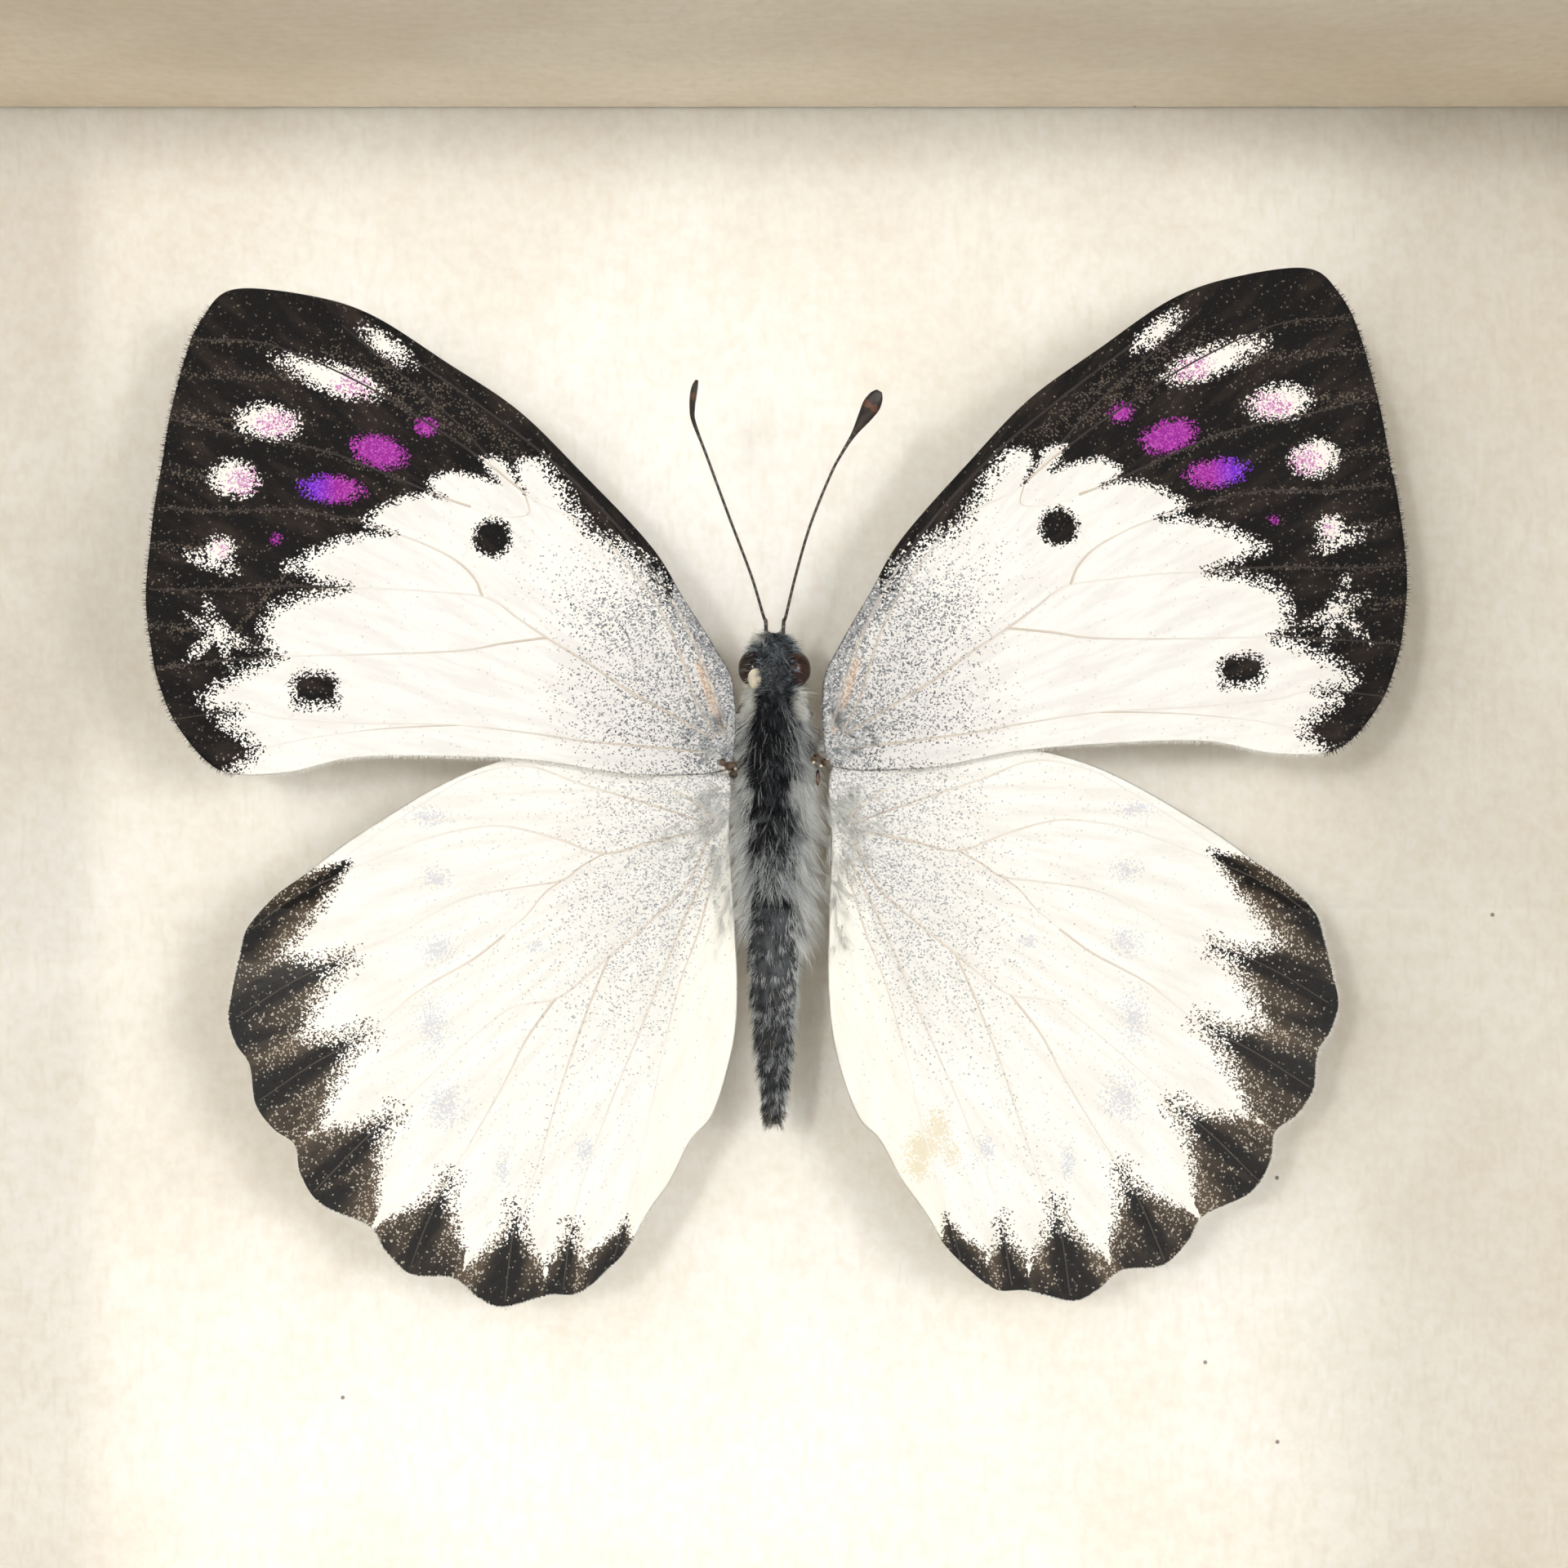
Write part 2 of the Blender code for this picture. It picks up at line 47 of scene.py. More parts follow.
RAIL_FRONT_MM = [
    (0.0, 3.2), (0.05, 1.4), (0.5, 0.45), (1.5, 0.06), (3.2, 0.0), (9.4, 0.0), (10.3, 0.12), (10.9, 0.45),
    (11.4, 0.95), (12.2, 1.42), (13.2, 1.74), (14.4, 1.93), (15.6, 2.03), (15.95, 2.22), (16.2, 2.06), (16.7, 2.05),
    (17.15, 2.25), (17.42, 2.7), (17.5, 3.3), (17.5, 4.3),
]
RAIL_REBATE_MM = [(17.35, 4.5), (11.5, 4.5), (11.5, 40.9), (11.35, 41.0), (0.3, 41.0), (0.0, 40.7), (0.0, 22.0)]
STAIN_DARK = (40, 22, 14)
STAIN_MID = (86, 50, 30)
STAIN_LIGHT = (124, 78, 47)


def linear(swatch):
    """A colour picked as 0 to 255 screen values, as the linear values that a shader takes."""
    c = np.array(swatch, float) / 255.0
    c = np.where(c <= 0.04045, c / 12.92, ((c + 0.055) / 1.055) ** 2.4)
    return (*c.tolist(), 1.0)


def rounded_route(points, steps, closed=False):
    """A curve through all the points: each stretch is the Catmull-Rom cubic of the four points about it."""
    p = np.array(points, float)
    if closed:
        p = np.vstack([p[-1], p, p[:2]])
    else:
        p = np.vstack([2 * p[0] - p[1], p, 2 * p[-1] - p[-2]])
    t = np.linspace(0.0, 1.0, steps, endpoint=False)[None, :, None]
    before, start, end, after = (p[k : len(p) - 3 + k, None] for k in range(4))
    curve = 2 * start + (end - before) * t
    curve = curve + (2 * before - 5 * start + 4 * end - after) * t**2
    curve = curve + (3 * start - before - 3 * end + after) * t**3
    curve = (curve / 2).reshape(-1, p.shape[1])
    return curve if closed else np.vstack([curve, p[-2]])


def lattice(rows, columns, ring=True, first=0):
    """Quads between neighbouring rows of points: row r and column c meet r + 1 and c + 1, round the ring."""
    r = np.arange(rows - 1)[:, None]
    c = np.arange(columns if ring else columns - 1)[None, :]
    d = (c + 1) % columns
    quads = [r * columns + c, r * columns + d, (r + 1) * columns + d, (r + 1) * columns + c]
    return np.stack(quads, 2).reshape(-1, 4) + first


def piece(name, points, faces, finish, slot, stands_for=(), uv=None, fields=None):
    """A mesh from arrays: points in metres, a list of face arrays, and per-point fields for its material."""
    mesh = bpy.data.meshes.new(name)
    corners = np.concatenate([np.asarray(f).reshape(-1) for f in faces])
    counts = np.concatenate([np.full(len(f), len(f[0])) for f in faces])
    starts = np.concatenate([[0], np.cumsum(counts)[:-1]])
    mesh.vertices.add(len(points))
    mesh.vertices.foreach_set("co", np.asarray(points, np.float32).ravel())
    mesh.loops.add(len(corners))
    mesh.loops.foreach_set("vertex_index", corners.astype(np.int32))
    mesh.polygons.add(len(counts))
    mesh.polygons.foreach_set("loop_start", starts.astype(np.int32))
    mesh.update(calc_edges=True)
    if uv is not None:
        layer = mesh.uv_layers.new(name="UVMap")
        layer.uv.foreach_set("vector", np.asarray(uv, np.float32)[corners].ravel())
    for field, values in (fields or {}).items():
        mesh.attributes.new(field, "FLOAT", "POINT").data.foreach_set("value", np.asarray(values, np.float32))
    mesh.validate()
    mesh.shade_smooth()
    mesh.materials.append(finish)
    obj = bpy.data.objects.new(name, mesh)
    bpy.context.scene.collection.objects.link(obj)
    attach(obj, "root")
    if stands_for:
        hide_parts(*stands_for)
    return obj


def surface(name):
    """A new material with its node tree and its Principled shader."""
    made = bpy.data.materials.new(name)
    made.use_nodes = True
    return made, made.node_tree, made.node_tree.nodes["Principled BSDF"]


def feed(tree, node, inputs):
    """Each named input of a node, set to a value or joined to a socket."""
    for key, value in inputs.items():
        if isinstance(value, bpy.types.NodeSocket):
            tree.links.new(value, node.inputs[key])
        else:
            node.inputs[key].default_value = value


def put(tree, kind, inputs=None, **settings):
    """A node with its settings and its inputs."""
    made = tree.nodes.new("ShaderNode" + kind)
    for key, value in settings.items():
        setattr(made, key, value)
    feed(tree, made, inputs or {})
    return made


def maths(tree, operation, a, b):
    """One sum on two values or sockets."""
    return put(tree, "Math", {0: a, 1: b}, operation=operation).outputs[0]


def times(tree, a, b):
    """One value times another."""
    return maths(tree, "MULTIPLY", a, b)


def remap(tree, value, low=0.0, high=1.0, to_low=0.0, to_high=1.0):
    """A value carried from one span to another, held at its ends."""
    return put(tree, "MapRange", {0: value, 1: low, 2: high, 3: to_low, 4: to_high}).outputs[0]


def noise(tree, place, scale, detail=2.0, roughness=0.5, distortion=0.0, **settings):
    """Soft noise over a place."""
    grain = {"Vector": place, "Scale": scale, "Detail": detail, "Roughness": roughness, "Distortion": distortion}
    return put(tree, "TexNoise", grain, **settings).outputs[0]


def mark(tree, name):
    """A field that the mesh carries at each of its points."""
    return put(tree, "Attribute", attribute_name=name).outputs["Fac"]


def laid_over(tree, amount, low, high):
    """One colour laid over another by a mask; a colour is a socket or three screen values."""
    low, high = (linear(c) if isinstance(c, tuple) else c for c in (low, high))
    made = put(tree, "Mix", data_type="RGBA")
    feed(tree, made, {0: amount, 6: low, 7: high})
    return made.outputs[2]


def ramp(tree, value, stops):
    """A ramp of screen colours along a value."""
    made = put(tree, "ValToRGB", {0: value})
    band = made.color_ramp
    while len(band.elements) < len(stops):
        band.elements.new(0.5)
    for element, (place, swatch) in zip(band.elements, stops):
        element.position = place
        element.color = linear(swatch)
    return made.outputs[0]


def stained_wood():
    """Open-grained stained hardwood: long fibres, dark pores, and a thin worn edge of lighter wood."""
    made, tree, shader = surface("stained_wood")
    flat = put(tree, "UVMap", uv_map="UVMap").outputs[0]
    drawn = put(tree, "Mapping", {"Vector": flat, "Scale": (24.0, 420.0, 1.0)}).outputs[0]
    fibre = noise(tree, drawn, 1.0, 8.0, 0.62)
    swell = put(tree, "Mapping", {"Vector": flat, "Scale": (9.0, 130.0, 1.0)}).outputs[0]
    figure = noise(tree, swell, 1.0, 3.0, distortion=0.6)
    tone = maths(tree, "ADD", times(tree, fibre, 0.6), times(tree, figure, 0.45))
    wood = ramp(tree, tone, [(0.36, STAIN_DARK), (0.52, STAIN_MID), (0.72, STAIN_LIGHT)])
    pore_place = put(tree, "Mapping", {"Vector": flat, "Scale": (260.0, 2600.0, 1.0)}).outputs[0]
    pores = noise(tree, pore_place, 1.0, 2.0)
    pore = remap(tree, pores, 0.62, 0.70)
    wood = laid_over(tree, times(tree, pore, 0.7), wood, (22, 12, 8))
    worn = mark(tree, "worn")
    patch = noise(tree, drawn, 0.5, 4.0)
    rubbed = times(tree, worn, remap(tree, patch, 0.45, 0.65))
    wood = laid_over(tree, times(tree, rubbed, 0.55), wood, (150, 104, 66))
    tree.links.new(wood, shader.inputs["Base Color"])
    gloss = remap(tree, fibre, 0.3, 0.7, 0.34, 0.52)
    feed(tree, shader, {"Roughness": gloss, "Coat Weight": 0.25, "Coat Roughness": 0.25})
    height = maths(tree, "SUBTRACT", fibre, times(tree, pore, 0.6))
    dent = put(tree, "Bump", {"Height": height, "Strength": 0.5, "Distance": 0.00008}).outputs[0]
    tree.links.new(dent, shader.inputs["Normal"])
    return made


def rail(name, quarter_turns, finish):
    """One rail: the moulding's section carried along its length, each point stopping at the mitre plane,
    so half the length is half the frame's side less the point's distance in from the outer edge."""
    section = np.vstack([rounded_route(RAIL_FRONT_MM, 4), RAIL_REBATE_MM])
    inward, depth = section[:, 0], section[:, 1]
    along = np.linspace(-1.0, 1.0, 33)
    reach = FRAME_SIDE / 2 - MITRE_OPEN - inward
    x = along[:, None] * reach[None, :]
    y = np.broadcast_to(FRAME_FRONT + depth, x.shape)
    z = np.broadcast_to(inward - FRAME_MIDDLE, x.shape)
    turn = quarter_turns * math.pi / 2
    placed = np.stack([x * math.cos(turn) + z * math.sin(turn), y, z * math.cos(turn) - x * math.sin(turn)], 2)
    placed[:, :, 2] += FRAME_MIDDLE
    girth = np.concatenate([[0.0], np.cumsum(np.hypot(*np.diff(section, axis=0).T))])
    uv = np.stack([x + quarter_turns * 310.0, np.broadcast_to(girth + quarter_turns * 77.0, x.shape)], 2) * MM
    bend = np.exp(-((girth - 1.9) ** 2) / 0.8) + np.exp(-((inward - 15.95) ** 2) / 0.1) * (depth < 4)
    bend = bend + np.exp(-((inward - 17.4) ** 2) / 0.03) * (depth < 4)
    count = len(section)
    ends = [np.arange(count)[None, :], (np.arange(count)[::-1] + 32 * count)[None, :]]
    faces = [lattice(33, count)[:, ::-1], *ends]
    fields = {"worn": np.broadcast_to(np.clip(bend, 0, 1), x.shape).ravel()}
    obj = piece(name + "_moulding", placed.reshape(-1, 3) * MM, faces, finish, "stained_wood", (name,),
                uv=uv.reshape(-1, 2), fields=fields)
    obj.data.set_sharp_from_angle(angle=math.radians(40))
    return obj


RAIL_WOOD = stained_wood()
for rail_name, quarter_turns in (("rail_bottom", 0), ("rail_left", 1), ("rail_top", 2), ("rail_right", 3)):
    rail(rail_name, quarter_turns, RAIL_WOOD)

# The glass: one pane of clear float glass laid in the rebate behind the lip. Shadow rays pass it
# straight through, so the specimen behind is lit as by plain air.
def clear_glass():
    """Clear glass with a trace of haze in the polish."""
    made, tree, shader = surface("clear_glass")
    feed(tree, shader, {"Base Color": (0.985, 0.992, 0.99, 1.0), "Transmission Weight": 1.0, "IOR": 1.45})
    place = put(tree, "TexCoord").outputs["Object"]
    haze = noise(tree, place, 90.0, 1.0)
    polish = remap(tree, haze, 0.5, 0.8, 0.0, 0.02)
    tree.links.new(polish, shader.inputs["Roughness"])
    out = tree.nodes["Material Output"]
    open_air = put(tree, "BsdfTransparent").outputs[0]
    path = put(tree, "LightPath").outputs["Is Shadow Ray"]
    either = put(tree, "MixShader", {0: path, 1: shader.outputs[0], 2: open_air}).outputs[0]
    tree.links.new(either, out.inputs["Surface"])
    return made


for material_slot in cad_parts["glass_pane"].material_slots:
    material_slot.material = clear_glass()

# The mount panel and the liners: card covered with a cream laid paper, cut to fit the rebate. The
# panel carries the specimen, and the four liners stand round it as the walls of the box.
PANEL_FACE = 12.85
PANEL_BACK = 15.85
PANEL_HALF = 50.7
LINER_FRONT = -14.35
LINER_BACK = 12.55
SIGHT_HALF = 45.0
PAPER_PALE = (251, 248, 241)
PAPER_CLOUD = (236, 228, 213)


def ripple(x, z, seed, scales=(0.055, 0.13, 0.31)):
    """A gentle roll from -1 to 1: a sum of sines along turned directions, each scale finer and lower."""
    roll = np.zeros_like(x)
    for k, (scale, height) in enumerate(zip(scales, (1.0, 0.45, 0.2))):
        for turn in (0.4 + seed, 1.9 + 1.7 * seed, 3.3 + 0.6 * seed):
            a, b = math.cos(turn + k), math.sin(turn + k)
            roll = roll + height * np.sin(scale * 2 * math.pi * (a * x + b * z) + 5.1 * turn + k)
    return roll / 4.0


def fibre_group():
    """Shared look of pulp paper: cloudy tone, crossing fibres, rare dark specks and a felt-marked surface."""
    group = bpy.data.node_groups.new("paper_fibre", "ShaderNodeTree")
    for name in ("Pale", "Cloud", "Speck"):
        group.interface.new_socket(name, in_out="INPUT", socket_type="NodeSocketColor")
    specks = group.interface.new_socket("Specks", in_out="INPUT", socket_type="NodeSocketFloat")
    specks.default_value = 0.5
    group.interface.new_socket("Color", in_out="OUTPUT", socket_type="NodeSocketColor")
    group.interface.new_socket("Height", in_out="OUTPUT", socket_type="NodeSocketFloat")
    given = group.nodes.new("NodeGroupInput")
    result = group.nodes.new("NodeGroupOutput")
    place = put(group, "UVMap", uv_map="UVMap").outputs[0]
    flat = {"noise_dimensions": "2D"}
    cloud = noise(group, place, 60.0, 3.0, 0.6, **flat)
    felt = noise(group, place, 1100.0, 2.0, 0.75, **flat)
    drawn = put(group, "Mapping", {"Vector": place, "Rotation": (0.0, 0.0, 0.7), "Scale": (1.0, 0.22, 1.0)}).outputs[0]
    fleck = noise(group, drawn, 2400.0, 1.0, **flat)
    wide = remap(group, cloud, 0.36, 0.68)
    fine = remap(group, felt, 0.35, 0.75)
    amount = maths(group, "ADD", times(group, wide, 0.6), times(group, fine, 0.42))
    tone = laid_over(group, amount, given.outputs["Pale"], given.outputs["Cloud"])
    strand = remap(group, fleck, 0.60, 0.72)
    tone = laid_over(group, times(group, strand, 0.3), tone, given.outputs["Cloud"])
    cells = put(group, "TexVoronoi", {"Vector": place, "Scale": 260.0}, voronoi_dimensions="2D")
    chosen = put(group, "SeparateColor", {0: cells.outputs["Color"]}).outputs[0]
    share = maths(group, "SUBTRACT", 1.0, times(group, given.outputs["Specks"], 0.02))
    rare = maths(group, "GREATER_THAN", chosen, share)
    close = remap(group, cells.outputs["Distance"], 0.022, 0.034, 1.0, 0.0)
    dot = times(group, times(group, rare, close), 0.8)
    tone = laid_over(group, dot, tone, given.outputs["Speck"])
    group.links.new(tone, result.inputs["Color"])
    group.links.new(felt, result.inputs["Height"])
    return group


PAPER_FIBRE = fibre_group()


def paper(name, pale, cloud, speck, specks, strength):
    """Matt paper from the shared fibre look in its own colours."""
    made, tree, shader = surface(name)
    fibre = tree.nodes.new("ShaderNodeGroup")
    fibre.node_tree = PAPER_FIBRE
    feed(tree, fibre, {"Pale": linear(pale), "Cloud": linear(cloud), "Speck": linear(speck), "Specks": specks})
    tree.links.new(fibre.outputs["Color"], shader.inputs["Base Color"])
    dry = remap(tree, fibre.outputs["Height"], to_low=0.95, to_high=0.8)
    tree.links.new(dry, shader.inputs["Roughness"])
    dent = put(tree, "Bump", {"Height": fibre.outputs["Height"], "Strength": strength, "Distance": 0.0001})
    feed(tree, shader, {"Normal": dent.outputs[0], "Specular IOR Level": 0.25})
    return made


def outward(points, faces):
    """The same faces, turned round if they enclose a negative volume: the sum of the corner tetrahedra of
    every face about the origin."""
    volume = 0.0
    for f in faces:
        f = np.asarray(f)
        for k in range(1, f.shape[1] - 1):
            a, b, c = points[f[:, 0]], points[f[:, k]], points[f[:, k + 1]]
            volume += float((a * np.cross(b, c)).sum())
    return faces if volume > 0 else [np.asarray(f)[:, ::-1] for f in faces]


def card(name, half_wide, half_high, centre, depth, finish, slot, stands_for, axes=(0, 1, 2), face=1.0,
         roll=0.05, seed=0.0, rounding=0.25, across=90):
    """A covered card: two gridded faces joined by a rim that turns a quarter circle at each edge. The front
    face rolls by the ripple sum; axes says which way the width, the thickness and the height lie."""
    high = max(12, int(across * half_high / half_wide))
    gx, gz = np.meshgrid(np.linspace(-1, 1, across + 1), np.linspace(-1, 1, high + 1))
    x, z = gx * (half_wide - rounding), gz * (half_high - rounding)
    rise = depth / 2 + roll * ripple(x, z, seed) * (1 - gx**8) * (1 - gz**8) - roll / 2
    front = np.stack([x, face * rise, z], 2).reshape(-1, 3)
    back = np.stack([x, np.full_like(x, -face * depth / 2), z], 2).reshape(-1, 3)
    columns, count = across + 1, front.shape[0]
    rim = np.concatenate([
        np.arange(columns), np.arange(1, high + 1) * columns + across,
        high * columns + np.arange(across)[::-1], np.arange(1, high)[::-1] * columns,
    ])
    edge = np.stack([gx.ravel()[rim], gz.ravel()[rim]], 1)
    out = edge * (np.abs(edge) == 1)
    quarter = np.linspace(0.0, math.pi / 2, 5)[1:]
    half = np.concatenate([quarter, (math.pi - quarter)[::-1]])
    rings = []
    for k, turn in enumerate(half):
        start = front[rim] if k < len(quarter) else back[rim]
        ring = start.copy()
        ring[:, [0, 2]] += out * rounding * math.sin(turn)
        down = rounding * (1 - abs(math.cos(turn)))
        ring[:, 1] += -face * down if k < len(quarter) else face * down
        rings.append(ring)
    rings = rings[:-1]
    flat = np.vstack([front, back, *rings])
    n = len(rim)
    order = [rim] + [2 * count + k * n + np.arange(n) for k in range(len(rings))] + [rim + count]
    grid = lattice(high + 1, columns, ring=False)
    sides = [np.stack([a, np.roll(a, -1), np.roll(b, -1), b], 1) for a, b in zip(order[:-1], order[1:])]
    uv = flat[:, [0, 2]] * MM + 0.2 * len(name)
    flat = flat[:, np.argsort(axes)]
    faces = outward(flat, [np.vstack([grid, grid[:, ::-1] + count, *[s[:, ::-1] for s in sides]])])
    return piece(name, (flat + centre) * MM, faces, finish, slot, stands_for, uv=uv)


MOUNT_PAPER = paper("mount_paper", PAPER_PALE, PAPER_CLOUD, (92, 74, 58), 0.6, 0.35)
# The walls take the panel's paper made warmer and a little darker: painted shade for the walls standing in the box's
# shade.
SHADED_WALL_PAPER = paper("wall_paper_painted_shade", (252, 243, 227), (236, 223, 202), (92, 74, 58), 0.5, 0.45)
card("mounting_card", PANEL_HALF, PANEL_HALF, (0.0, (PANEL_FACE + PANEL_BACK) / 2, FRAME_MIDDLE),
     PANEL_BACK - PANEL_FACE, MOUNT_PAPER, "cream_paper", ("mount_panel",), face=-1.0, across=200)
liner_middle = (PANEL_HALF + SIGHT_HALF) / 2
liner_thick = PANEL_HALF - SIGHT_HALF
liner_y = (LINER_FRONT + LINER_BACK) / 2
liner_run = (LINER_BACK - LINER_FRONT) / 2
for word, side in (("top", 1), ("bottom", -1)):
    card("wall_" + word, PANEL_HALF, liner_run, (0.0, liner_y, FRAME_MIDDLE + side * liner_middle), liner_thick,
         SHADED_WALL_PAPER, "cream_paper", ("liner_" + word,), axes=(0, 2, 1), face=-side, roll=0.08, seed=side * 0.8,
         rounding=0.3, across=160)
for word, side in (("right", 1), ("left", -1)):
    card("wall_" + word, SIGHT_HALF - 0.3, liner_run, (side * liner_middle, liner_y, FRAME_MIDDLE), liner_thick,
         SHADED_WALL_PAPER, "cream_paper", ("liner_" + word,), axes=(2, 0, 1), face=-side, roll=0.08, seed=side * 1.3,
         rounding=0.5, across=160)

# The backing: brown board behind the panel, then a kraft paper cover glued over the back of the rails.
# The board is cut square and the cover is pasted damp, so it dries tight with shallow creases.
BACKING_CARD = paper("backing_card", (128, 98, 68), (104, 78, 52), (50, 34, 22), 1.0, 0.5)
card("backing_sheet", PANEL_HALF, PANEL_HALF, (0.0, 17.4, FRAME_MIDDLE), 2.5, BACKING_CARD, "brown_board",
     ("backing_board",), roll=0.04, seed=1.1, rounding=0.15, across=60)
KRAFT_COVER = paper("kraft_cover", (176, 140, 98), (150, 116, 78), (92, 62, 38), 2.5, 0.6)
card("kraft_back", 54.5, 54.5, (0.0, 20.0, FRAME_MIDDLE), 0.3, KRAFT_COVER, "kraft_paper", ("dust_cover",),
     roll=0.12, seed=2.4, rounding=0.12, across=120)

# The pin and the legs: a plain headless steel pin through the thorax holds the specimen off the panel,
# and the six dry legs are folded flat under the thorax, jointed at knee and ankle.
ROOT_HEIGHT = 73.0
LEG_ROUTES_MM = {
    "leg_front": [(0.6, 3.55, 1.0), (1.4, 3.2, 1.5), (1.9, 3.1, 2.1), (1.1, 2.7, 3.4), (0.6, 2.6, 4.6)],
    "leg_middle": [(0.8, 3.35, -0.9), (1.7, 3.0, -0.5), (2.2, 2.8, -0.9), (1.8, 2.3, -3.0), (1.6, 2.0, -5.2)],
    "leg_hind": [(0.7, 3.25, -2.9), (1.3, 3.0, -3.6), (1.5, 2.9, -4.8), (1.0, 2.7, -7.2), (0.7, 2.6, -9.4)],
}


def horn(name, dark, light, roughness=0.38, scale=1500.0):
    """Hard dry skin of an insect: dark, glossy, mottled by a fine noise and finely pitted."""
    made, tree, shader = surface(name)
    place = put(tree, "TexCoord").outputs["Object"]
    mottle = noise(tree, place, scale, 5.0)
    tone = remap(tree, mottle, 0.38, 0.66)
    tree.links.new(laid_over(tree, tone, dark, light), shader.inputs["Base Color"])
    dull = remap(tree, mottle, 0.3, 0.7, roughness - 0.08, roughness + 0.15)
    tree.links.new(dull, shader.inputs["Roughness"])
    dent = put(tree, "Bump", {"Height": mottle, "Strength": 0.5, "Distance": 0.00003}).outputs[0]
    tree.links.new(dent, shader.inputs["Normal"])
    return made


def end_fans(sides, total, rows):
    """Triangles that close both ends of a tube on the last two of its points."""
    here, after, last = np.arange(sides), np.roll(np.arange(sides), -1), (rows - 1) * sides
    return np.concatenate([
        np.stack([np.full(sides, total - 2), after, here], 1),
        np.stack([np.full(sides, total - 1), last + here, last + after], 1),
    ])


def stem(route, half_wide, half_deep, sides=10):
    """A round stalk along a route: each ring stands square to the route's own direction, with the half width
    across the picture and the half depth towards the viewer. Returns points and the faces that close it."""
    way = np.gradient(route, axis=0)
    way /= np.linalg.norm(way, axis=1, keepdims=True) + 1e-12
    toward = np.array((0.0, -1.0, 0.0))
    across = np.cross(way, toward)
    across /= np.linalg.norm(across, axis=1, keepdims=True) + 1e-12
    up = np.cross(across, way)
    turns = np.linspace(0, 2 * math.pi, sides, endpoint=False)
    ring = across[:, None] * (np.asarray(half_wide)[:, None] * np.cos(turns))[:, :, None]
    ring = ring + up[:, None] * (np.asarray(half_deep)[:, None] * np.sin(turns))[:, :, None]
    points = (route[:, None] + ring).reshape(-1, 3)
    points = np.vstack([points, route[:1], route[-1:]])
    return points, [lattice(len(route), sides), end_fans(sides, len(points), len(route))]


def standing(route):
    """Distance from the axis, lift off the panel and height above the wing roots, as a place in the frame."""
    route = np.asarray(route, float)
    return np.stack([route[:, 0], PANEL_FACE - route[:, 1], ROOT_HEIGHT + route[:, 2]], 1)


def bell(gap, wide):
    """A bell: 1 at no gap, falling with its square."""
    return np.exp(-((gap / wide) ** 2))


for material_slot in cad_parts["specimen_pin"].material_slots:
    PIN_STEEL, tree, shader = surface("pin_steel")
    shader.inputs["Metallic"].default_value = 1.0
    streak = noise(tree, put(tree, "TexCoord").outputs["Object"], 3000.0)
    feed(tree, shader, {
        "Base Color": ramp(tree, streak, [(0.3, (120, 118, 112)), (0.7, (190, 188, 180))]),
        "Roughness": remap(tree, streak, to_low=0.2, to_high=0.4),
    })
    material_slot.material = PIN_STEEL
LEG_HORN = horn("leg_horn", (30, 22, 18), (78, 62, 50))
for leg, leg_route in LEG_ROUTES_MM.items():
    for word, side in (("left", -1), ("right", 1)):
        smooth = rounded_route(np.array(leg_route) * (side, 1, 1), 9)
        along = np.linspace(0, 1, len(smooth))
        knuckle = 1 + 0.5 * bell(along - 0.48, 0.03) + 0.35 * bell(along - 0.75, 0.02)
        thick = (0.125 - 0.05 * along) * knuckle
        points, faces = stem(standing(smooth), thick, thick)
        piece(f"{leg}_{word}_jointed", points * MM, outward(points, faces), LEG_HORN, "dark_horn", (f"{leg}_{word}",))

# The body: head, thorax and abdomen grown as one, a hard dark skin under hair. The eyes are glossy
# and dark brown, a cream cheek lies inside the left one, and brown knobs join the wings to the thorax.
BODY_SECTIONS_MM = np.array([
    (6.15, 0.35, 0.4), (5.9, 0.75, 0.8), (5.3, 1.2, 1.3), (4.3, 1.4, 1.5), (3.4, 1.3, 1.4), (2.7, 1.25, 1.4),
    (2.1, 1.6, 1.7), (0.85, 1.95, 2.1), (-0.85, 2.1, 2.3), (-2.5, 2.15, 2.35), (-4.2, 2.1, 2.3),
    (-5.9, 2.0, 2.1), (-7.15, 1.85, 1.9), (-8.9, 1.65, 1.7), (-10.15, 1.55, 1.6), (-11.7, 1.4, 1.5),
    (-14.2, 1.15, 1.3), (-15.65, 0.95, 1.1), (-16.9, 0.75, 0.9), (-18.2, 0.55, 0.65), (-19.1, 0.4, 0.45),
    (-19.4, 0.2, 0.25),
])[::-1]
RINGS_MM = (-8.0, -9.6, -11.5, -13.6, -16.0, -17.9)


def body_at(height, turn, share=1.0):
    """A point of the body's form: an ellipse about the axis at that height, turn 0 to the right and a quarter
    turn towards the viewer, its half axes read from the sections; the axis droops towards the tail."""
    wide = np.interp(height, BODY_SECTIONS_MM[:, 0], BODY_SECTIONS_MM[:, 1])
    deep = np.interp(height, BODY_SECTIONS_MM[:, 0], BODY_SECTIONS_MM[:, 2])
    lift = 6.0 + 0.045 * height + share * deep * np.sin(turn)
    upright = ROOT_HEIGHT + height + 0.0 * turn
    return np.stack([share * wide * np.cos(turn), PANEL_FACE - lift, upright], -1)


def skin_share(height):
    """How much of the form is skin and not hair: 0.7 at the thorax, 0.8 at the head, 0.88 on the abdomen,
    nipped by a hundredth or two between the rings of the abdomen."""
    share = np.interp(height, [-20, -8.5, -6.5, 1.5, 3.0, 6.2], [0.88, 0.84, 0.72, 0.7, 0.8, 0.86])
    for ring in RINGS_MM:
        share = share - 0.05 * bell(height - ring, 0.12)
    return share


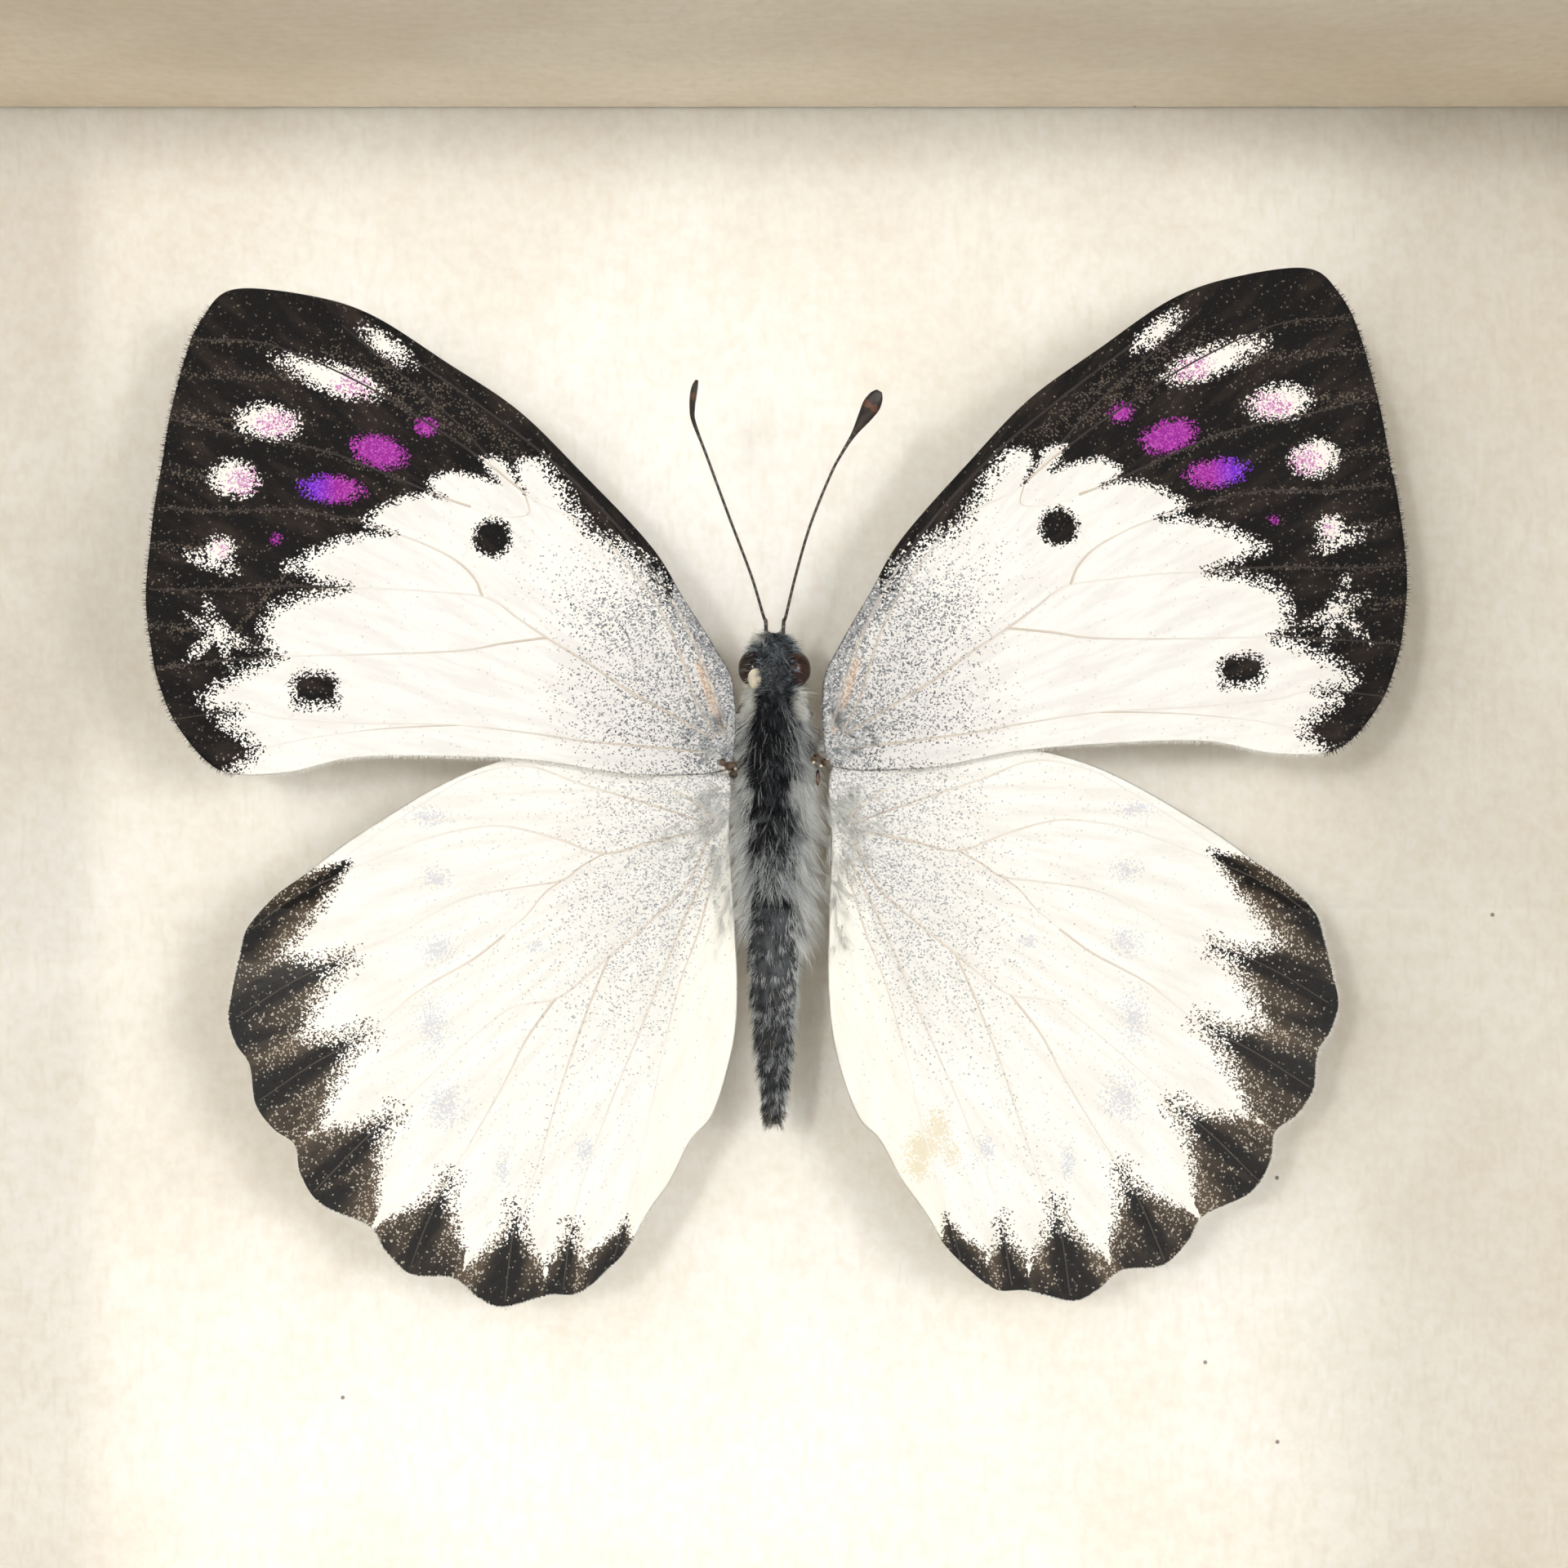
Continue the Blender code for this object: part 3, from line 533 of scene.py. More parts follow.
SKIN_ROWS = 260
SKIN_SIDES = 48
body_heights = np.linspace(6.1, -19.38, SKIN_ROWS)
body_turns = np.linspace(0, 2 * math.pi, SKIN_SIDES, endpoint=False)
skin_grid = body_at(body_heights[:, None], body_turns[None, :], skin_share(body_heights)[:, None])
skin_points = np.vstack([skin_grid.reshape(-1, 3), skin_grid[0].mean(0), skin_grid[-1].mean(0)])
BODY_SKIN = horn("body_skin", (18, 20, 26), (62, 66, 70), 0.5, 1100.0)
skin_caps = end_fans(SKIN_SIDES, len(skin_points), SKIN_ROWS)
skin_faces = outward(skin_points, [lattice(SKIN_ROWS, SKIN_SIDES), skin_caps])
piece("body_skin", skin_points * MM, skin_faces, BODY_SKIN, "body_hair", ("body",))


def hair_finish():
    """Dry insect hair: each blade carries its own tone from black through slate to pale, and a warmth."""
    made, tree, shader = surface("specimen_hair")
    tone = mark(tree, "tone")
    warm = mark(tree, "warm")
    stops = [(0.0, (6, 8, 12)), (0.3, (46, 54, 64)), (0.6, (158, 168, 174)), (1.0, (252, 252, 248))]
    warm_stops = [(0.0, (28, 17, 13)), (0.4, (104, 76, 56)), (1.0, (250, 242, 220))]
    colour = laid_over(tree, warm, ramp(tree, tone, stops), ramp(tree, tone, warm_stops))
    tree.links.new(colour, shader.inputs["Base Color"])
    fine = noise(tree, put(tree, "TexCoord").outputs["Object"], 5000.0)
    feed(tree, shader, {"Roughness": remap(tree, fine, to_low=0.42, to_high=0.72), "Specular IOR Level": 0.25})
    return made


def fur(name, roots, lean, length, width, droop, tone, warm, finish, slot):
    """Tapered three-sided blades, one on each root: a base ring, a middle ring 0.55 of the way out moved by
    half the droop, and a tip moved by the whole droop, all as one mesh of ten faces a blade."""
    lean = lean / np.linalg.norm(lean, axis=1, keepdims=True)
    aside = np.cross(lean, np.array((0.31, 0.62, 0.72)))
    aside /= np.linalg.norm(aside, axis=1, keepdims=True)
    over = np.cross(lean, aside)
    turns = np.array([0.0, 2.0944, 4.1888])
    ring = aside[:, None] * np.cos(turns)[None, :, None] + over[:, None] * np.sin(turns)[None, :, None]
    base = roots[:, None] + ring * width[:, None, None]
    bend = roots + lean * (length * 0.55)[:, None] + droop * 0.35
    middle = bend[:, None] + ring * (width * 0.7)[:, None, None]
    tip = (roots + lean * length[:, None] + droop)[:, None]
    points = np.concatenate([base, middle, tip], 1).reshape(-1, 3)
    at = (np.arange(len(roots)) * 7)[:, None]
    quads = [at + np.array([[a, b, b + 3, a + 3]]) for a, b in ((0, 1), (1, 2), (2, 0))]
    points_up = [at + np.array([[3 + a, 3 + b, 6]]) for a, b in ((0, 1), (1, 2), (2, 0))]
    foot = [at + np.array([[2, 1, 0]])]
    fields = {"tone": np.repeat(tone, 7), "warm": np.repeat(warm, 7)}
    faces = [np.concatenate(quads), np.concatenate(points_up + foot)]
    return piece(name, points * MM, outward(points, faces), finish, slot, fields=fields)


SPECIMEN_HAIR = hair_finish()
seeded = np.random.default_rng(73)


def body_fur(name, count, low, high, lengths, flow, spread, look, width=0.013, turns=(0.0, 2 * math.pi)):
    """Hair over a stretch of the body, in tufts of a dozen blades that start close together and share a lean,
    between the skin's outward direction and the flow. Each blade is dark or, by chance, pale."""
    tufts = count // 12
    tuft = seeded.integers(0, tufts, count)
    height = np.clip(seeded.uniform(low, high, tufts)[tuft] + seeded.normal(0, 0.13, count), low, high)
    turn = seeded.uniform(*turns, tufts)[tuft] + seeded.normal(0, 0.09, count)
    root = body_at(height, turn, skin_share(height) * 0.97)
    axis = np.stack([0 * height, PANEL_FACE - 6.0 - 0.045 * height, ROOT_HEIGHT + height], 1)
    out = root - axis
    out /= np.linalg.norm(out, axis=1, keepdims=True)
    lean = out + np.array(flow) + seeded.normal(0, spread, (tufts, 3))[tuft]
    lean = lean + seeded.normal(0, spread * 0.4, (count, 3))
    length = seeded.uniform(*lengths, tufts)[tuft] * seeded.uniform(0.75, 1.15, count)
    droop = np.stack([seeded.normal(0, 0.16, tufts)[tuft], seeded.normal(0, 0.05, tufts)[tuft], -0.22 * length], 1)
    dark, pale, share, warm = look(root[:, 0], height)
    chance = seeded.uniform(0, 1, tufts)[tuft] * 0.42 + seeded.uniform(0, 1, count) * 0.58
    tone = np.where(chance < share, pale, dark) + seeded.normal(0, 0.06, count)
    fur(name, root, lean, length, np.full(count, width), droop * length[:, None], np.clip(tone, 0, 1),
        np.clip(warm + 0 * height, 0, 1), SPECIMEN_HAIR, "body_hair")


def bump_at(x, height, at_x, at_height, wide, high):
    """One patch in the picture plane, fading from its middle as the bell of the scaled distance."""
    return np.exp(-(((x - at_x) / wide) ** 2) - ((height - at_height) / high) ** 2)


def head_look(x, height):
    """Slate hair with pale tips, cream inside the left eye and at the left palp, nearly black at the neck."""
    neck = bump_at(0 * x, height, 0, 2.75, 1, 0.45)
    cream = bump_at(x, height, -0.95, 3.6, 0.35, 0.5) + bump_at(x, height, -0.7, 6.0, 0.3, 0.4)
    sides = bump_at(np.abs(x), height, 1.2, 2.3, 0.35, 0.5)
    return 0.24 - 0.22 * neck, 0.60 + 0.35 * cream, 0.45 - 0.4 * neck + cream + sides, 0.7 * cream + 0.35 * sides


def thorax_look(x, height):
    """A blue-black core left of the middle, grey beside it, pale along both sides and over the waist."""
    right = 1 / (1 + np.exp(-(x - 0.62) / 0.14))
    far = 1 / (1 + np.exp(-(x - 1.15) / 0.12))
    left = 1 / (1 + np.exp((x + 1.18) / 0.12))
    waist = 1 / (1 + np.exp((height + 4.9) / 0.35)) * (1 - bump_at(0 * x, height, 0, -7.6, 1, 0.4))
    # A painted glint: a patch of paler hair right of the middle, below the wing roots.
    glint = bump_at(x, height, 0.95, -1.9, 0.25, 0.6)
    share = 0.13 + 0.42 * right + 0.4 * far + 0.75 * left + 0.45 * waist + glint
    return 0.04 + 0.1 * right, 0.74 + 0.22 * far + 0.25 * left + 0.3 * glint + 0.06 * waist, share, 0.04


def abdomen_look(x, height):
    """Dark hair lying back with pale blades among it, more at the ring edges and the sides; a brown tail."""
    ring = np.max([bump_at(0 * x, height, 0, r, 1, 0.28) for r in (-11.5, -13.6, -16.0, -17.9)], axis=0)
    band = bump_at(0 * x, height, 0, -7.7, 1, 0.45)
    tail = 1 / (1 + np.exp((height + 18.6) / 0.2))
    patch = bump_at(x, height, -0.1, -14.9, 0.35, 0.5) + bump_at(x, height, 0.1, -12.6, 0.3, 0.3)
    side = np.clip(np.abs(x) - 0.55, 0, 1)
    patchy = np.sin(height * 3.1 + x * 4) * np.sin(height * 5.3 - x * 6 + 1)
    share = 0.30 + 0.22 * ring - 0.3 * band + 0.5 * side + 0.16 * x + 0.2 * patchy - 0.25 * patch
    return 0.10 - 0.08 * band, 0.84 + 0.1 * side, share, 0.8 * tail + 0.5 * patch


def fuzz_look(x, height):
    """The soft pale hair at the sides, slate only beside the wing joints."""
    slate = bump_at(0 * x, height, 0, 0.9, 1, 0.9)
    return 0.36 - 0.12 * slate, 1.0 - 0.15 * slate, 0.78 - 0.3 * slate, 0.03


def neck_look(x, height):
    """Pale cream-green hair at the sides of the neck, with a few dark blades."""
    return 0.5 + 0 * x, 0.88 + 0 * x, 0.85 + 0 * x, 0.35


body_fur("head_fur", 6500, 2.2, 6.1, (0.35, 0.75), (0.0, -0.2, 0.0), 0.34, head_look)
body_fur("thorax_fur", 15000, -7.6, 2.5, (0.6, 1.3), (0.05, -0.05, -1.2), 0.42, thorax_look)
body_fur("abdomen_fur", 13500, -19.25, -7.2, (0.28, 0.62), (0.0, 0.0, -1.8), 0.3, abdomen_look, 0.011)
body_fur("right_side_fuzz", 2200, -9.4, 1.8, (1.1, 2.5), (0.5, -0.3, -1.2), 0.55, fuzz_look, 0.008, (-0.6, 0.85))
body_fur("left_side_fuzz", 2200, -9.0, 2.0, (0.9, 2.1), (-0.5, -0.3, -1.0), 0.55, fuzz_look, 0.008, (2.3, 3.7))
body_fur("right_neck_tuft", 1300, 1.7, 3.2, (0.6, 1.1), (0.5, -0.5, -0.2), 0.4, neck_look, 0.010, (-0.3, 0.7))
body_fur("left_neck_tuft", 1300, 1.7, 3.2, (0.6, 1.1), (-0.5, -0.5, -0.2), 0.4, neck_look, 0.010, (2.45, 3.45))


def egg(centre, radii):
    """A closed egg: radii times the cosine and sine of latitude and longitude about its centre."""
    rings, sides = 22, 30
    up = np.linspace(math.pi / 2, -math.pi / 2, rings + 2)[1:-1]
    round_it = np.linspace(0, 2 * math.pi, sides, endpoint=False)
    x = np.cos(up)[:, None] * np.cos(round_it)
    y = np.cos(up)[:, None] * np.sin(round_it)
    z = np.broadcast_to(np.sin(up)[:, None], x.shape)
    points = np.vstack([np.stack([x, y, z], 2).reshape(-1, 3), (0, 0, 1), (0, 0, -1)]) * radii + centre
    return points, [lattice(rings, sides), end_fans(sides, len(points), rings)]


def eggs(name, shapes, finish, slot):
    """Several closed eggs joined as one mesh; each is (x, lift, height) and its three radii."""
    points, faces = [], []
    for x, lift, height, *radii in shapes:
        p, f = egg(standing([(x, lift, height)])[0], radii)
        f = outward(p, f)
        faces += [g + sum(len(q) for q in points) for g in f]
        points.append(p)
    return piece(name, np.vstack(points) * MM, faces, finish, slot)


EYE_GLOSS = horn("eye_gloss", (20, 9, 7), (58, 28, 18), 0.2, 900.0)
eggs("eyes", [(-1.02, 6.25, 4.3, 0.84, 0.95, 1.0), (1.08, 6.25, 4.25, 0.82, 0.95, 0.95)], EYE_GLOSS, "dark_horn")
CHEEK = horn("cheek_scales", (196, 182, 152), (228, 220, 200), 0.6, 2600.0)
eggs("cheeks", [(-1.0, 6.95, 3.8, 0.36, 0.34, 0.62)], CHEEK, "body_hair")
AMBER = horn("joint_amber", (40, 27, 20), (112, 88, 68), 0.3, 2600.0)
eggs("wing_joints", [
    (-2.25, 7.55, -0.80, 0.34, 0.22, 0.24), (-2.66, 7.45, -0.58, 0.16, 0.16, 0.18), (-2.1, 7.6, -1.25, 0.22, 0.2, 0.2),
    (2.15, 7.6, -0.38, 0.28, 0.22, 0.24), (2.62, 7.5, -0.60, 0.24, 0.2, 0.2), (2.25, 7.5, -1.4, 0.12, 0.14, 0.42),
], AMBER, "dark_horn")
BEAD = horn("joint_beads", (176, 160, 138), (226, 216, 200), 0.3, 3000.0)
eggs("joint_beads", [
    (-2.45, 7.72, -1.12, 0.09, 0.08, 0.1), (-2.0, 7.75, -0.95, 0.08, 0.07, 0.08), (-2.6, 7.6, -0.9, 0.07, 0.07, 0.09),
    (2.02, 7.8, -0.62, 0.09, 0.08, 0.09), (2.4, 7.72, -0.8, 0.10, 0.08, 0.08), (2.72, 7.66, -0.42, 0.07, 0.07, 0.08),
], BEAD, "dark_horn")

# The antennae: two dry dark threads ringed by fine joints, each ending in a flattened club. The left
# club is seen edge on and curls over; the right one faces the viewer and shows a brown patch.
LEFT_ANTENNA_MM = [
    (-3.93, 9.9, 18.75, 0.08, 0.12), (-4.03, 9.8, 18.45, 0.16, 0.36), (-4.12, 9.7, 18.0, 0.18, 0.42),
    (-4.17, 9.6, 17.4, 0.15, 0.32), (-4.1, 9.4, 16.7, 0.11, 0.16), (-3.45, 9.0, 15.0, 0.09, 0.09),
    (-2.33, 8.3, 12.0, 0.09, 0.09), (-1.18, 7.5, 9.0, 0.09, 0.09), (-0.55, 6.9, 6.95, 0.1, 0.1),
    (-0.44, 6.6, 6.75, 0.12, 0.12), (-0.42, 6.5, 6.0, 0.12, 0.12),
]
RIGHT_ANTENNA_MM = [
    (5.35, 9.9, 18.2, 0.16, 0.08), (5.2, 9.8, 17.95, 0.36, 0.16), (4.95, 9.7, 17.5, 0.46, 0.18),
    (4.62, 9.5, 16.95, 0.36, 0.16), (4.1, 9.3, 16.15, 0.16, 0.12), (3.5, 9.1, 15.2, 0.1, 0.1),
    (2.9, 8.8, 14.1, 0.09, 0.09), (1.87, 8.2, 11.6, 0.09, 0.09), (1.1, 7.5, 9.0, 0.09, 0.09),
    (0.6, 6.9, 6.95, 0.1, 0.1), (0.5, 6.6, 6.75, 0.12, 0.12), (0.46, 6.5, 6.0, 0.12, 0.12),
]


def antenna_horn():
    """Black-brown ringed thread: a pale band at every joint, fading out towards the club, which is brown."""
    made, tree, shader = surface("antenna_horn")
    ringed = mark(tree, "ringed")
    club = mark(tree, "club")
    place = put(tree, "TexCoord").outputs["Object"]
    mottle = noise(tree, place, 2200.0, 4.0)
    dark = ramp(tree, mottle, [(0.35, (20, 15, 13)), (0.7, (62, 48, 40))])
    dark = laid_over(tree, times(tree, ringed, 0.55), dark, (150, 138, 122))
    patch = remap(tree, maths(tree, "ADD", club, mottle), 1.15, 1.35)
    feed(tree, shader, {
        "Base Color": laid_over(tree, patch, dark, (96, 58, 38)),
        "Roughness": remap(tree, mottle, to_low=0.3, to_high=0.55),
    })
    dent = put(tree, "Bump", {"Height": ringed, "Strength": 0.4, "Distance": 0.00002}).outputs[0]
    tree.links.new(dent, shader.inputs["Normal"])
    return made


ANTENNA_HORN = antenna_horn()
for word, antenna in (("left", LEFT_ANTENNA_MM), ("right", RIGHT_ANTENNA_MM)):
    smooth = rounded_route(antenna, 30)
    run = np.concatenate([[0.0], np.cumsum(np.linalg.norm(np.diff(smooth[:, :3], axis=0), axis=1))])
    joint = 0.5 + 0.5 * np.cos(run * 2 * math.pi / 0.42)
    thread = np.clip((run - 2.2) / 1.0, 0, 1)
    swell = 1 + 0.10 * thread * joint
    thin = 1 - 0.22 * thread
    points, faces = stem(standing(smooth[:, :3]), smooth[:, 3] * swell * thin, smooth[:, 4] * swell * thin, 14)
    sides = np.tile(np.sin(np.linspace(0, 2 * math.pi, 14, endpoint=False)), len(smooth))
    around = np.append(np.repeat(joint**6 * thread, 14), (0, 0))
    patch = np.append(np.repeat(bell(run - 0.85, 0.35), 14) * np.clip(sides + 0.3, 0, 1), (0, 0))
    piece(f"antenna_{word}_ringed", points * MM, outward(points, faces), ANTENNA_HORN, "dark_horn",
          (f"antenna_{word}",), fields={"ringed": around, "club": patch})

# The hindwings: one thin sheet each, rounded and scalloped, white with a border of brown-black wedges.
# They are set spread, a little proud of the panel, with their front edges under the forewings.
WING_HINGE_MM = np.array((2.2, 0.85))
HINDWING_OUTLINE_MM = [
    (2.3, -1.2), (3.6, 0.2), (7.1, 0.6), (11.0, 0.2), (14.6, -0.65), (17.4, -1.85), (20.3, -3.6),
    (22.4, -5.0), (24.2, -6.4), (25.7, -7.5), (27.1, -9.1), (27.5, -10.4), (27.9, -12.35),
    (28.1, -13.8), (27.7, -15.1), (27.0, -16.2), (26.7, -18.15), (25.8, -19.45), (24.7, -20.3),
    (24.4, -21.8), (23.3, -23.4), (20.9, -24.5), (20.05, -25.8), (18.7, -27.0), (16.6, -27.2),
    (15.3, -28.2), (14.0, -28.7), (11.6, -28.1), (10.1, -28.0), (8.8, -27.0), (7.5, -25.6),
    (6.6, -24.0), (5.4, -22.25), (4.3, -20.1), (3.2, -18.8), (2.2, -15.6), (1.9, -12.35),
    (2.1, -8.0), (2.3, -4.5),
]
HINDWING_VEINS_MM = {
    "humeral": [(3.0, -3.6), (4.5, -2.4), (6.3, -1.7), (7.8, -1.3)],
    "costal": [(3.3, -3.8), (6.3, -2.8), (10.0, -1.7), (12.8, -0.8), (15.6, -1.3), (18.2, -2.8), (22.0, -5.4)],
    "first": [(3.2, -4.0), (6.3, -4.7), (8.8, -5.3), (11.3, -4.5), (13.8, -3.9), (15.6, -4.0), (17.8, -4.5),
              (20.6, -5.6), (22.6, -6.5), (24.8, -7.6), (26.9, -9.2)],
    "second": [(8.8, -5.3), (10.0, -6.0), (11.0, -6.7), (12.8, -7.0), (15.6, -7.5), (17.4, -8.3), (19.7, -9.6),
               (22.2, -10.7), (24.8, -11.9), (27.6, -13.7)],
    "cell": [(11.0, -6.7), (11.9, -7.4), (12.8, -8.5), (13.9, -9.5), (14.9, -11.2), (15.2, -12.6), (13.4, -13.2)],
    "third": [(13.9, -9.5), (15.6, -10.8), (18.2, -12.3), (19.9, -13.7), (21.3, -14.8), (23.7, -16.1), (26.5, -18.0)],
    "fourth": [(3.3, -4.3), (4.5, -6.9), (6.3, -8.7), (8.5, -10.6), (10.0, -11.9), (11.3, -12.8), (13.4, -13.2),
               (15.0, -14.3), (17.1, -16.2), (18.6, -17.6), (19.9, -18.9), (21.7, -20.6), (23.7, -22.7)],
    "fifth": [(11.3, -12.8), (12.8, -14.9), (13.9, -17.1), (15.6, -20.1), (16.9, -22.3), (17.8, -24.1), (18.8, -26.7)],
    "sixth": [(8.5, -10.6), (9.5, -13.0), (10.8, -16.7), (11.9, -20.4), (12.8, -23.2), (13.5, -25.1), (13.9, -28.4)],
    "seventh": [(3.2, -5.6), (4.9, -9.3), (6.7, -13.9), (8.6, -18.6), (9.9, -22.3), (10.5, -24.7), (10.9, -27.8)],
    "inner": [(2.9, -5.6), (3.9, -9.3), (4.9, -12.1), (5.8, -15.8), (6.7, -20.1), (7.5, -23.2), (8.3, -26.3)],
}
# A border wedge: its tip, its middle on the margin, and half its breadth there
WEDGES_MM = [
    ((21.8, -5.7), (27.4, -9.7), 2.1), ((22.0, -10.7), (27.9, -13.7), 4.9), ((21.1, -14.6), (26.9, -18.1), 4.9),
    ((19.7, -18.8), (24.3, -23.3), 5.6), ((16.8, -22.2), (18.9, -27.2), 4.8), ((13.3, -23.9), (13.9, -29.0), 4.6),
    ((10.4, -24.6), (10.9, -28.3), 2.5), ((7.6, -24.1), (8.3, -27.1), 2.2),
]
NOTCHES_MM = [
    (27.4, -11.0), (27.0, -15.9), (24.7, -20.2), (20.7, -24.6), (16.1, -27.1), (11.8, -27.9), (9.5, -27.5),
]
GREY_SPOTS_MM = [
    (17.9, -3.4, 0.85, 0.35), (17.4, -6.6, 0.6, 0.45), (17.3, -10.2, 0.65, 0.6), (17.6, -14.1, 0.6, 1.1),
    (16.9, -18.3, 0.8, 0.9), (9.8, -20.7, 0.4, 0.6), (14.0, -21.6, 0.3, 0.7), (12.3, -10.1, 0.4, 0.3),
]
STAIN_MM = [(6.6, -20.6, 0.9, 0.7), (7.3, -19.6, 0.5, 0.8), (6.2, -21.6, 0.5, 0.5), (8.0, -20.9, 0.35, 0.35)]
HINDWING_LIFT = 6.55
HINDWING_RISE = 0.04
SCALE_GRAIN = 9000.0
FINE_GRAIN = 13500.0


def gap_to(points, line):
    """Distance from each point to a line of joined stretches: to the nearest place on each stretch, clamped
    to its ends, and the least of those."""
    line = np.asarray(line, float)
    nearest = np.full(len(points), 1e9)
    for a, b in zip(line[:-1], line[1:]):
        way = b - a
        t = np.clip(((points - a) @ way) / (way @ way + 1e-12), 0, 1)
        nearest = np.minimum(nearest, np.hypot(*(points - a - t[:, None] * way).T))
    return nearest


def depth_in(points, patch):
    """Distance to the edge of a closed patch, counted positive inside: a point is inside when a level line
    from it crosses the edge an odd number of times."""
    patch = np.asarray(patch, float)
    after = np.roll(patch, -1, 0)
    inside = np.zeros(len(points), bool)
    for (ax, az), (bx, bz) in zip(patch, after):
        crosses = (az > points[:, 1]) != (bz > points[:, 1])
        where = ax + (points[:, 1] - az) * (bx - ax) / (bz - az + 1e-12)
        inside ^= crosses & (points[:, 0] < where)
    return np.where(inside, 1, -1) * gap_to(points, np.vstack([patch, patch[:1]]))


def spot(points, x, z, long, wide, turn=0.0):
    """Depth in an egg-shaped spot: one less the scaled distance from its middle, times its half breadth."""
    c, s = math.cos(math.radians(turn)), math.sin(math.radians(turn))
    dx, dz = points[:, 0] - x, points[:, 1] - z
    return (1 - np.hypot((dx * c + dz * s) / long, (dz * c - dx * s) / wide)) * min(long, wide)


def pinned(points, lift, side, turn, shift, rise):
    """Wing millimetres (out from the axis, up from the roots, lift off the panel) to frame millimetres: turned
    about the hinge, moved by the shift, mirrored on the left, and raised with the reach towards the tip."""
    c, s = math.cos(turn), math.sin(turn)
    flat = (points - WING_HINGE_MM) @ np.array(((c, s), (-s, c))) + WING_HINGE_MM + shift
    y = PANEL_FACE - lift - flat[:, 0] * math.sin(rise)
    return np.stack([side * flat[:, 0] * math.cos(rise), y, ROOT_HEIGHT + flat[:, 1]], 1)


def membrane(outline, middle, around=620, inward=126, behind=24):
    """A wing sheet: rows of points share the outline's shape, drawn in towards a middle point by an even
    share, from the middle to the rim on the front and back to the middle behind. Gives flat points, which
    side of the sheet each is on (1 in front, -1 behind, 0 at the rim), and the faces."""
    curve = rounded_route(outline, 24, closed=True)
    loop = np.vstack([curve, curve[:1]])
    run = np.concatenate([[0.0], np.cumsum(np.hypot(*np.diff(loop, axis=0).T))])
    even = np.linspace(0, run[-1], around, endpoint=False)
    rim = np.stack([np.interp(even, run, loop[:, k]) for k in (0, 1)], 1)
    middle = np.array(middle)
    front = np.linspace(0, 1, inward + 1)[1:]
    back = np.linspace(1, 0, behind + 1)[1:-1]
    shares = np.concatenate([front, back])
    sides = np.concatenate([np.ones(inward - 1), [0.0], -np.ones(behind - 1)])
    points = (middle + shares[:, None, None] * (rim - middle)[None]).reshape(-1, 2)
    points = np.vstack([points, middle, middle])
    side = np.concatenate([np.repeat(sides, around), [1.0, -1.0]])
    return points, side, [lattice(len(shares), around), end_fans(around, len(points), len(shares))], rim


def powder_group():
    """Shared look of wing scales: a mosaic of tiny cells, each with three numbers of its own, and the height
    of a low dome on each."""
    group = bpy.data.node_groups.new("wing_powder", "ShaderNodeTree")
    for name, value in (("Seed", 0.0), ("Grain", SCALE_GRAIN)):
        made = group.interface.new_socket(name, in_out="INPUT", socket_type="NodeSocketFloat")
        made.default_value = value
    for name in ("First", "Second", "Third", "Height"):
        group.interface.new_socket(name, in_out="OUTPUT", socket_type="NodeSocketFloat")
    given = group.nodes.new("NodeGroupInput")
    result = group.nodes.new("NodeGroupOutput")
    place = put(group, "TexCoord").outputs["Object"]
    parts = put(group, "SeparateXYZ", {0: place})
    flat = put(group, "CombineXYZ", {0: parts.outputs["X"], 1: parts.outputs["Z"]}).outputs[0]
    moved = put(group, "VectorMath", {0: flat, 1: given.outputs["Seed"]}, operation="ADD").outputs[0]
    cells = put(group, "TexVoronoi", {"Vector": moved, "Scale": given.outputs["Grain"]}, voronoi_dimensions="2D")
    numbers = put(group, "SeparateColor", {0: cells.outputs["Color"]})
    for k, name in enumerate(("First", "Second", "Third")):
        group.links.new(numbers.outputs[k], result.inputs[name])
    group.links.new(maths(group, "SUBTRACT", 1.0, cells.outputs["Distance"]), result.inputs["Height"])
    return group


def passing_group():
    """Shared edge of every powdery marking: a field passes cell by cell where it is above zero, give or take
    the fuzz times twice the cell's number less one."""
    group = bpy.data.node_groups.new("powder_edge", "ShaderNodeTree")
    for name in ("Field", "Number", "Fuzz"):
        group.interface.new_socket(name, in_out="INPUT", socket_type="NodeSocketFloat")
    group.interface.new_socket("Mask", in_out="OUTPUT", socket_type="NodeSocketFloat")
    given = group.nodes.new("NodeGroupInput")
    result = group.nodes.new("NodeGroupOutput")
    swing = maths(group, "SUBTRACT", times(group, given.outputs["Number"], 2.0), 1.0)
    over = maths(group, "ADD", times(group, swing, given.outputs["Fuzz"]), given.outputs["Field"])
    group.links.new(remap(group, over, -0.02, 0.03), result.inputs["Mask"])
    return group


WING_POWDER = powder_group()
POWDER_EDGE = passing_group()


def powder(tree, seed, grain):
    """The mosaic of cells in a material."""
    made = tree.nodes.new("ShaderNodeGroup")
    made.node_tree = WING_POWDER
    feed(tree, made, {"Seed": seed, "Grain": grain})
    return made.outputs


def passes(tree, field, number, fuzz):
    """The mask of a field, or of one named on the sheet, broken up by a cell number."""
    made = tree.nodes.new("ShaderNodeGroup")
    made.node_tree = POWDER_EDGE
    field = mark(tree, field) if isinstance(field, str) else field
    feed(tree, made, {"Field": field, "Number": number, "Fuzz": fuzz})
    return made.outputs["Mask"]


def long_streaks(tree, across, along):
    """Streaks that run out from the wing root: noise on the sheet's turn and reach, drawn out along the reach."""
    flat = put(tree, "UVMap", uv_map="UVMap").outputs[0]
    drawn = put(tree, "Mapping", {"Vector": flat, "Scale": (across, along, 1.0)}).outputs[0]
    return noise(tree, drawn, 1.0, 3.0, 0.6, noise_dimensions="2D")


